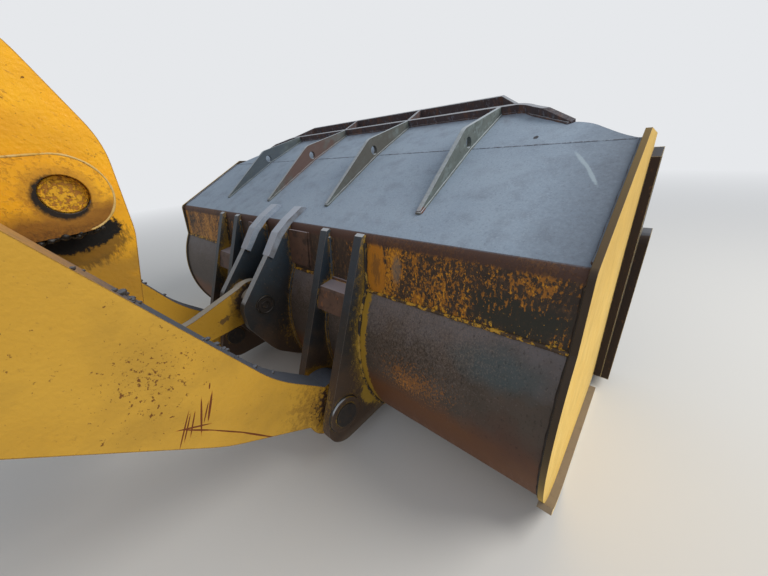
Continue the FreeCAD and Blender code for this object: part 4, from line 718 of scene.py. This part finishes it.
# A weld bead: a thin tube along a path, evenly stepped, whose radius swells with each ripple of the puddle
# and wanders slowly. across is a direction that the path never points in.
def weldBead(path, radius, across=(1, 0, 0), seed=0):
    path = np.asarray(path, float)
    gaps = np.linalg.norm(np.diff(path, axis=0), axis=1)
    length = np.concatenate([[0], np.cumsum(gaps)])
    count = max(4, int(length[-1] / weld["step"]))
    here = np.linspace(0, length[-1], count)
    line = np.stack([np.interp(here, length, path[:, i]) for i in range(3)], axis=1)
    ahead = np.gradient(line, axis=0)
    ahead /= np.linalg.norm(ahead, axis=1)[:, None]
    side = np.cross(ahead, across)
    side /= np.linalg.norm(side, axis=1)[:, None]
    rise = np.cross(side, ahead)
    swell = 1 + weld["ripple"] * np.cos(2 * math.pi * here / weld["pitch"])
    swell += weld["wander"] * np.sin(here * 23 + seed) * np.sin(here * 61 + 2 * seed)
    swell[0] = swell[-1] = 0.5
    turn = np.linspace(0, 2 * math.pi, weld["sides"], endpoint=False)
    ring = np.cos(turn)[:, None] * side[:, None, :] + np.sin(turn)[:, None] * rise[:, None, :]
    points = line[:, None, :] + radius * swell[:, None, None] * ring
    ends = np.stack([line[0], line[-1]])
    return np.concatenate([points.reshape(-1, 3), ends]), tubeFaces(count, weld["sides"])


# A ring round a pin or tube at a given x, as a path in the side view
def circlePath(x, centre, radius, start=0.0, stop=360.0):
    turn = np.radians(np.linspace(start, stop, 120))
    return np.stack([np.full(120, x), centre[0] + np.cos(turn) * radius, centre[1] + np.sin(turn) * radius], axis=1)


gusset = {"places": (-0.957, -0.319, 0.319, 0.957), "half": 0.011, "start": 0.181, "end": 1.068, "bead": 0.006}


def gussetWelds():
    depth = np.concatenate([np.linspace(gusset["start"] - 0.008, bucket["foldDepth"], 60),
                            np.linspace(bucket["foldDepth"] + 0.005, gusset["end"], 40)])
    beads = []
    for number, x in enumerate(gusset["places"]):
        for side in (-1, 1):
            path = onTop(x + side * gusset["half"], depth, 0.001)
            beads.append(weldBead(path, gusset["bead"], seed=number * 2 + side))
        toe = onTop(np.linspace(x - 0.015, x + 0.015, 8), gusset["start"] - 0.004, 0.002)
        beads.append(weldBead(toe, gusset["bead"] * 1.3, (0, 1, 0), number))
    return beads


lip = {"half": 1.052, "turnHalf": 1.165, "turnDepth": 1.028, "shoulderHalf": 1.376, "shoulderDepth": 0.883,
       "thickness": 0.02, "bead": 0.007, "guardHalf": 0.912}


def lipWelds():
    backFace = bucket["lipDepth"] - lip["thickness"]
    bounds = [-lip["half"] - 0.001] + [x + s * gusset["half"] for x in gusset["places"] for s in (-1, 1)]
    bounds += [lip["half"] + 0.001]
    beads = []
    for low, high in zip(bounds[::2], bounds[1::2]):
        path = onTop(np.linspace(low, high, 50), backFace, 0.0)
        beads.append(weldBead(path, lip["bead"], (0, 1, 0), low))
    for side in (-1, 1):
        corners = np.array([(lip["half"], backFace), (lip["half"] + 0.05, backFace - 0.012),
                            (lip["turnHalf"] - 0.018, lip["turnDepth"] - 0.015),
                            (lip["shoulderHalf"] - 0.02, lip["shoulderDepth"] - 0.018)])
        path = onTop(side * corners[:, 0], corners[:, 1], 0.0)
        beads.append(weldBead(path, lip["bead"], (0, 0, 1), side))
    front = onTop(np.linspace(-lip["half"], lip["half"], 120), bucket["lipDepth"], -0.013)
    beads.append(weldBead(front, lip["bead"], (0, 1, 0), 3))
    return beads


# The long seams: the fold of the top, the seam between band and heel, the side plates' joints
def sheetWelds():
    half = bucket["innerHalf"]
    beads = []
    depth = np.linspace(0.03, bucket["foldDepth"], 100)
    for side in (-1, 1):
        beads.append(weldBead(onTop(side * half, depth, 0.0), 0.007, seed=side + 8))
    return beads


def foldWeld():
    half = bucket["innerHalf"]
    return [weldBead(onTop(np.linspace(-half, half, 200), bucket["foldDepth"], -0.0022), 0.0045, (0, 1, 0), 5)]


def seamWeld():
    half = bucket["innerHalf"]
    return [weldBead(onBack(np.linspace(-half, half, 300), bucket["bandDepth"], 0.0015), 0.0085, (0, 1, 0), 11)]


def backWelds():
    half = bucket["innerHalf"]
    beads = []
    run = np.linspace(0.04, back["lowerEnd"] - 0.02, 260)
    for side in (-1, 1):
        beads.append(weldBead(onBack(side * half, run, 0.0), 0.008, seed=side + 13))
    return beads


ears = {"outer": 0.72, "inner": 0.47, "thickness": 0.05, "foot": -1.955, "bead": 0.011,
        "linkIn": 0.115, "linkThickness": 0.045, "linkFoot": -1.83}


# Beads down both faces of the ears where they stand on the sheets
def earWelds(rows, foot, start, radius):
    run = np.linspace(start, runAtLevel(foot), 200)
    beads = []
    for inside, thickness in rows:
        for x in (inside - 0.001, inside + thickness + 0.001):
            for side in (-1, 1):
                beads.append(weldBead(onBack(side * x, run, 0.002), radius, seed=x * 40 + side))
    return beads


block = {"top": -1.188, "bottom": -1.308, "in": 0.52, "out": 0.72, "padIn": 0.16, "padOut": 0.335,
         "padTop": 0.03, "padFoot": 0.225, "padThickness": 0.016}


def blockWelds():
    beads = []
    for side in (-1, 1):
        across = np.linspace(side * block["in"], side * block["out"], 40)
        for level in (block["top"] + 0.003, block["bottom"] - 0.002):
            beads.append(weldBead(onBack(across, runAtLevel(level), 0.001), 0.009, (0, 1, 0), level))
        padLine = np.linspace(side * block["padIn"], side * block["padOut"], 40)
        beads.append(weldBead(onBack(padLine, block["padFoot"] + 0.002, 0.0), 0.007, (0, 1, 0), side))
        padSide = np.linspace(block["padTop"], block["padFoot"], 40)
        beads.append(weldBead(onBack(side * block["padOut"], padSide, 0.0), 0.007, seed=side))
    return beads


# Rings where the boom's round pieces meet its plates
def boomWelds():
    beads = []
    for x in (-0.549, 0.549, -0.321, -0.219, 0.219, 0.321):
        beads.append(weldBead(circlePath(x, tubeAt, 0.181), 0.010, seed=x))
    for x, face in ((0.55, -1), (0.69, 1)):
        for side in (-1, 1):
            beads.append(weldBead(circlePath(side * (x + face * 0.001), (0, 0), 0.157), 0.007, seed=x))
            beads.append(weldBead(circlePath(side * (x + face * 0.001), (-1.0575, -0.775), 0.135), 0.007, seed=x))
    return beads


def crankWelds():
    beads = []
    for side in (-1, 1):
        beads.append(weldBead(circlePath(side * 0.139, pivotAt, 0.113), 0.008, seed=side))
        for offset in (0.0, 0.04):
            low = (pivotAt[0] + 0.06 + offset, pivotAt[1] - 0.43)
            high = (pivotAt[0] + 0.215 + offset, pivotAt[1] + 0.40)
            path = np.linspace((side * 0.139, *low), (side * 0.139, *high), 60)
            beads.append(weldBead(path, 0.007, seed=offset * 90 + side))
    return beads


# The pin's rim inside its bore, and the rim round the bracket's end, whose cream is a painted highlight
def pinRims():
    return [weldBead(circlePath(side * 0.293, pivotAt, 0.0545), 0.0042, seed=side) for side in (-1, 1)]


def linkPinRims():
    return [weldBead(circlePath(side * 0.1605, linkFrontAt, radius), bead, seed=side)
            for side in (-1, 1) for radius, bead in ((0.0495, 0.0065), (0.020, 0.0045))]


def bracketHighlightRims():
    rims = []
    for side in (-1, 1):
        x, half = side * 0.3185, 0.1195
        level = np.linspace(tubeAt[0] - 0.19, pivotAt[0], 40)
        top = np.stack([np.full(40, x), level, np.full(40, pivotAt[1] + half)], axis=1)
        end = circlePath(x, pivotAt, half, 90, 262)
        rims.append(weldBead(np.concatenate([top, end[1:]]), 0.0035, seed=side))
    return rims


def collarWelds():
    return [weldBead(circlePath(side * 0.771, hingeAt, 0.092), 0.006, seed=side) for side in (-1, 1)]


makePiece("gusset_welds", "bucket", "gussetPlate", gussetWelds())
makePiece("lip_welds", "bucket", "frostedLip", lipWelds())
makePiece("sheet_welds", "bucket", "frostedSheet", sheetWelds())
makePiece("fold_weld", "bucket", "frostedWeld", foldWeld())
makePiece("seam_weld", "bucket", "seamMetal", seamWeld())
makePiece("back_welds", "bucket", "greasyCasting", backWelds())
makePiece("outer_ear_welds", "bucket", "paintedWeld",
          earWelds([(ears["outer"], ears["thickness"])], ears["foot"], 0.03, ears["bead"]))
makePiece("inner_ear_welds", "bucket", "darkEar",
          earWelds([(ears["inner"], ears["thickness"])], ears["foot"], 0.03, ears["bead"])
          + earWelds([(ears["linkIn"], ears["linkThickness"])], ears["linkFoot"], 0.03, ears["bead"]))
makePiece("block_welds", "bucket", "blockRust", blockWelds())
makePiece("collar_welds", "bucket", "greasyCasting", collarWelds())
makePiece("link_pin_rims", "bucket", "blackGrease", linkPinRims())
makePiece("boom_welds", "boom", "armEnamel", boomWelds())
makePiece("crank_welds", "bellcrank", "crankEnamel", crankWelds())
makePiece("pin_rims", "boom", "rustedPin", pinRims())
makePiece("bracket_highlight_rims", "boom", "paintedHighlightRim", bracketHighlightRims())
print("welds laid")

# Loose dirt: each lump is a small globe whose radius is pushed in and out by three waves over its surface
lump = {"rows": 9, "columns": 12, "bump": 0.28}


def makeLumps(centres, sizes, seed):
    draw = np.random.default_rng(seed)
    number = len(centres)
    polar = np.linspace(0, math.pi, lump["rows"] + 2)[1:-1]
    around = np.linspace(0, 2 * math.pi, lump["columns"], endpoint=False)
    polarGrid, aroundGrid = np.meshgrid(polar, around, indexing="ij")
    ways = np.stack([np.sin(polarGrid) * np.cos(aroundGrid), np.sin(polarGrid) * np.sin(aroundGrid),
                     np.cos(polarGrid)], axis=-1)
    ends = np.array([(0, 0, 1.0), (0, 0, -1.0)])
    allWays = np.concatenate([ways.reshape(-1, 3), ends])
    waves = draw.normal(0, 2.6, (number, 3, 3))
    phases = draw.uniform(0, 6.28, (number, 3))
    push = np.sin(np.einsum("nwk,pk->nwp", waves, allWays) + phases[:, :, None]).sum(axis=1) / 3
    shape = np.asarray(sizes)[:, None, :] * allWays[None] * (1 + lump["bump"] * push)[:, :, None]
    points = np.asarray(centres)[:, None, :] + shape
    faces = tubeFaces(lump["rows"], lump["columns"])
    return [(points[i], faces) for i in range(number)]


# Grease and grit squeezed out along the lower edge of the right and left brackets
def greaseLumps():
    draw = np.random.default_rng(7)
    centres, sizes = [], []
    for side in (-1, 1):
        for y in np.linspace(pivotAt[0] - 0.045, pivotAt[0] + 0.26, 120):
            big = draw.uniform(0.004, 0.011)
            below = 0.122 + big * draw.uniform(0.2, 0.9)
            ahead = max(0.0, pivotAt[0] - y)
            centres.append((side * draw.uniform(0.262, 0.316), y, pivotAt[1] - math.sqrt(below ** 2 - ahead ** 2)))
            sizes.append((big * 1.1, big * 1.2, big))
    return makeLumps(centres, sizes, 17)


# Where the lift arm's upper edge runs, from the bellcrank down to the tip, as (y, z) in the side view
armTop = {"low": (-2.4125, -1.7142), "knee": (-2.1079, -1.4251), "rise": 43.5, "in": 0.56, "out": 0.68}


# Clods on the arms' upper edges, thicker in a few places
def armClods():
    draw = np.random.default_rng(23)
    edge = armUpperEdge()
    centres, sizes = [], []
    for side in (-1, 1):
        for share in np.concatenate([draw.uniform(0.05, 0.95, 16), draw.normal(0.62, 0.02, 9),
                                     draw.normal(0.40, 0.015, 6)]):
            share = min(max(share, 0.02), 0.98)
            y = np.interp(share, np.linspace(0, 1, len(edge)), edge[:, 0])
            z = np.interp(share, np.linspace(0, 1, len(edge)), edge[:, 1])
            big = draw.uniform(0.003, 0.010)
            centres.append((side * draw.uniform(armTop["in"], armTop["out"]), y, z + big * 0.25))
            sizes.append((big * 1.4, big * 1.5, big * 0.8))
    return makeLumps(centres, sizes, 29)


# The upper edge read from the arm's own mesh: the highest point of its outline at each step along Y
def armUpperEdge():
    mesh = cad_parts["right_lift_arm"].data
    points = np.empty(len(mesh.vertices) * 3)
    mesh.vertices.foreach_get("co", points)
    points = points.reshape(-1, 3)
    steps = np.linspace(-2.36, -1.45, 60)
    flat = points[np.abs(points[:, 0] + 0.55) < 0.002]
    order = np.argsort(flat[:, 1])
    upper = flat[order][:, 1:]
    upper = upper[upper[:, 1] > np.interp(upper[:, 0], (-2.50, -1.30), (-1.86, -1.05))]
    return np.stack([steps, np.interp(steps, upper[:, 0], upper[:, 1])], axis=1)


makePiece("bracket_grease", "boom", "blackGrease", greaseLumps())
makePiece("arm_clods", "boom", "frozenDirt", armClods())
print("dirt laid")

# The photograph's view: a wide phone lens held beside the right lift arm
view = {"lens": 14.23, "sensor": 36.0, "at": (-1.744, -1.727, -0.553),
        "right": (-0.75022, -0.65395, -0.09753), "down": (-0.22342, 0.38957, -0.89349),
        "forward": (0.62230, -0.64852, -0.43837)}


def placeCamera():
    lens = bpy.data.cameras.new("photoCamera")
    lens.lens, lens.sensor_width, lens.clip_start = view["lens"], view["sensor"], 0.01
    camera = bpy.data.objects.new("photoCamera", lens)
    bpy.context.scene.collection.objects.link(camera)
    turn = Matrix((view["right"], [-v for v in view["down"]], [-v for v in view["forward"]])).transposed()
    camera.matrix_world = Matrix.Translation(view["at"]) @ turn.to_4x4()
    bpy.context.scene.camera = camera


# A big soft box from the side that the bucket faces, a weak one from behind, and an even pale room
studio = {
    "room": "#DDE2E8", "roomStrength": 0.56, "backdrop": "#E6E8EB",
    "floor": "#D2D2D0", "nearFloor": 4.0, "farFloor": 14.0,
    "boxes": [("keyBox", (-5.2, -5.4, 3.0), (-0.6, -1.8, -1.0), 4.0, 330, "#FFFAF2"),
              ("backBox", (-3.5, 4.5, 3.5), (0, -2.0, -1.0), 5.0, 120, "#F4F6FF")],
}


def lightStudio():
    world = bpy.data.worlds.new("room")
    bpy.context.scene.world = world
    world.use_nodes = True
    tree = world.node_tree
    tree.nodes.clear()
    lit = addNode(tree, "Background", {"Color": hexColour(studio["room"]), "Strength": studio["roomStrength"]})
    seen = addNode(tree, "Background", {"Color": hexColour(studio["backdrop"]), "Strength": 1.0})
    path = addNode(tree, "LightPath")
    seenOrGloss = addNode(tree, "Math", {0: path.outputs["Is Camera Ray"], 1: path.outputs["Is Glossy Ray"]},
                          operation="MAXIMUM")
    seenAny = addNode(tree, "Math", {0: seenOrGloss.outputs[0], 1: path.outputs["Is Transmission Ray"]},
                      operation="MAXIMUM")
    both = addNode(tree, "MixShader", {0: seenAny.outputs[0], 1: lit.outputs[0], 2: seen.outputs[0]})
    addNode(tree, "OutputWorld", {"Surface": both.outputs[0]})
    for name, at, target, width, power, colour in studio["boxes"]:
        lamp = bpy.data.lights.new(name, "AREA")
        lamp.shape, lamp.size, lamp.energy, lamp.color = "DISK", width, power, hexColour(colour)[:3]
        box = bpy.data.objects.new(name, lamp)
        bpy.context.scene.collection.objects.link(box)
        box.location = at
        away = np.array(at) - np.array(target)
        away /= np.linalg.norm(away)
        side = np.cross((0, 0, 1), away)
        side /= np.linalg.norm(side)
        turn = Matrix((side, np.cross(away, side), away)).transposed()
        box.rotation_euler = turn.to_euler()


# A pale floor that takes the object's shadow and passes into the backdrop's colour far from it
def layFloor():
    material = bpy.data.materials.new("plainFloor")
    material.use_nodes = True
    tree = material.node_tree
    tree.nodes.clear()
    surface = addNode(tree, "BsdfPrincipled", {"Base Color": hexColour(studio["floor"]), "Roughness": 0.9,
                                               "Specular IOR Level": 0.1})
    haze = addNode(tree, "Emission", {"Color": hexColour(studio["backdrop"]), "Strength": 1.0})
    place = addNode(tree, "TexCoord").outputs["Object"]
    level = addNode(tree, "VectorMath", {0: place, 1: (1, 1, 0)}, operation="MULTIPLY").outputs[0]
    away = addNode(tree, "VectorMath", {0: level}, operation="LENGTH").outputs["Value"]
    far = addNode(tree, "MapRange", {"Value": away, "From Min": studio["nearFloor"], "From Max": studio["farFloor"]})
    seen = addNode(tree, "LightPath").outputs["Is Camera Ray"]
    share = addNode(tree, "Math", {0: far.outputs[0], 1: seen}, operation="MULTIPLY")
    mixed = addNode(tree, "MixShader", {0: share.outputs[0], 1: surface.outputs[0], 2: haze.outputs[0]})
    addNode(tree, "OutputMaterial", {"Surface": mixed.outputs[0]})
    reach, level = 80.0, bucket["ground"] - 0.002
    mesh = bpy.data.meshes.new("floor")
    mesh.from_pydata([(-reach, -reach, level), (reach, -reach, level), (reach, reach, level), (-reach, reach, level)],
                     [], [(0, 1, 2, 3)])
    mesh.materials.append(material)
    floor = bpy.data.objects.new("floor", mesh)
    bpy.context.scene.collection.objects.link(floor)


placeCamera()
lightStudio()
layFloor()
bpy.context.scene.view_settings.view_transform = "Standard"
print("camera, lamps and floor placed")
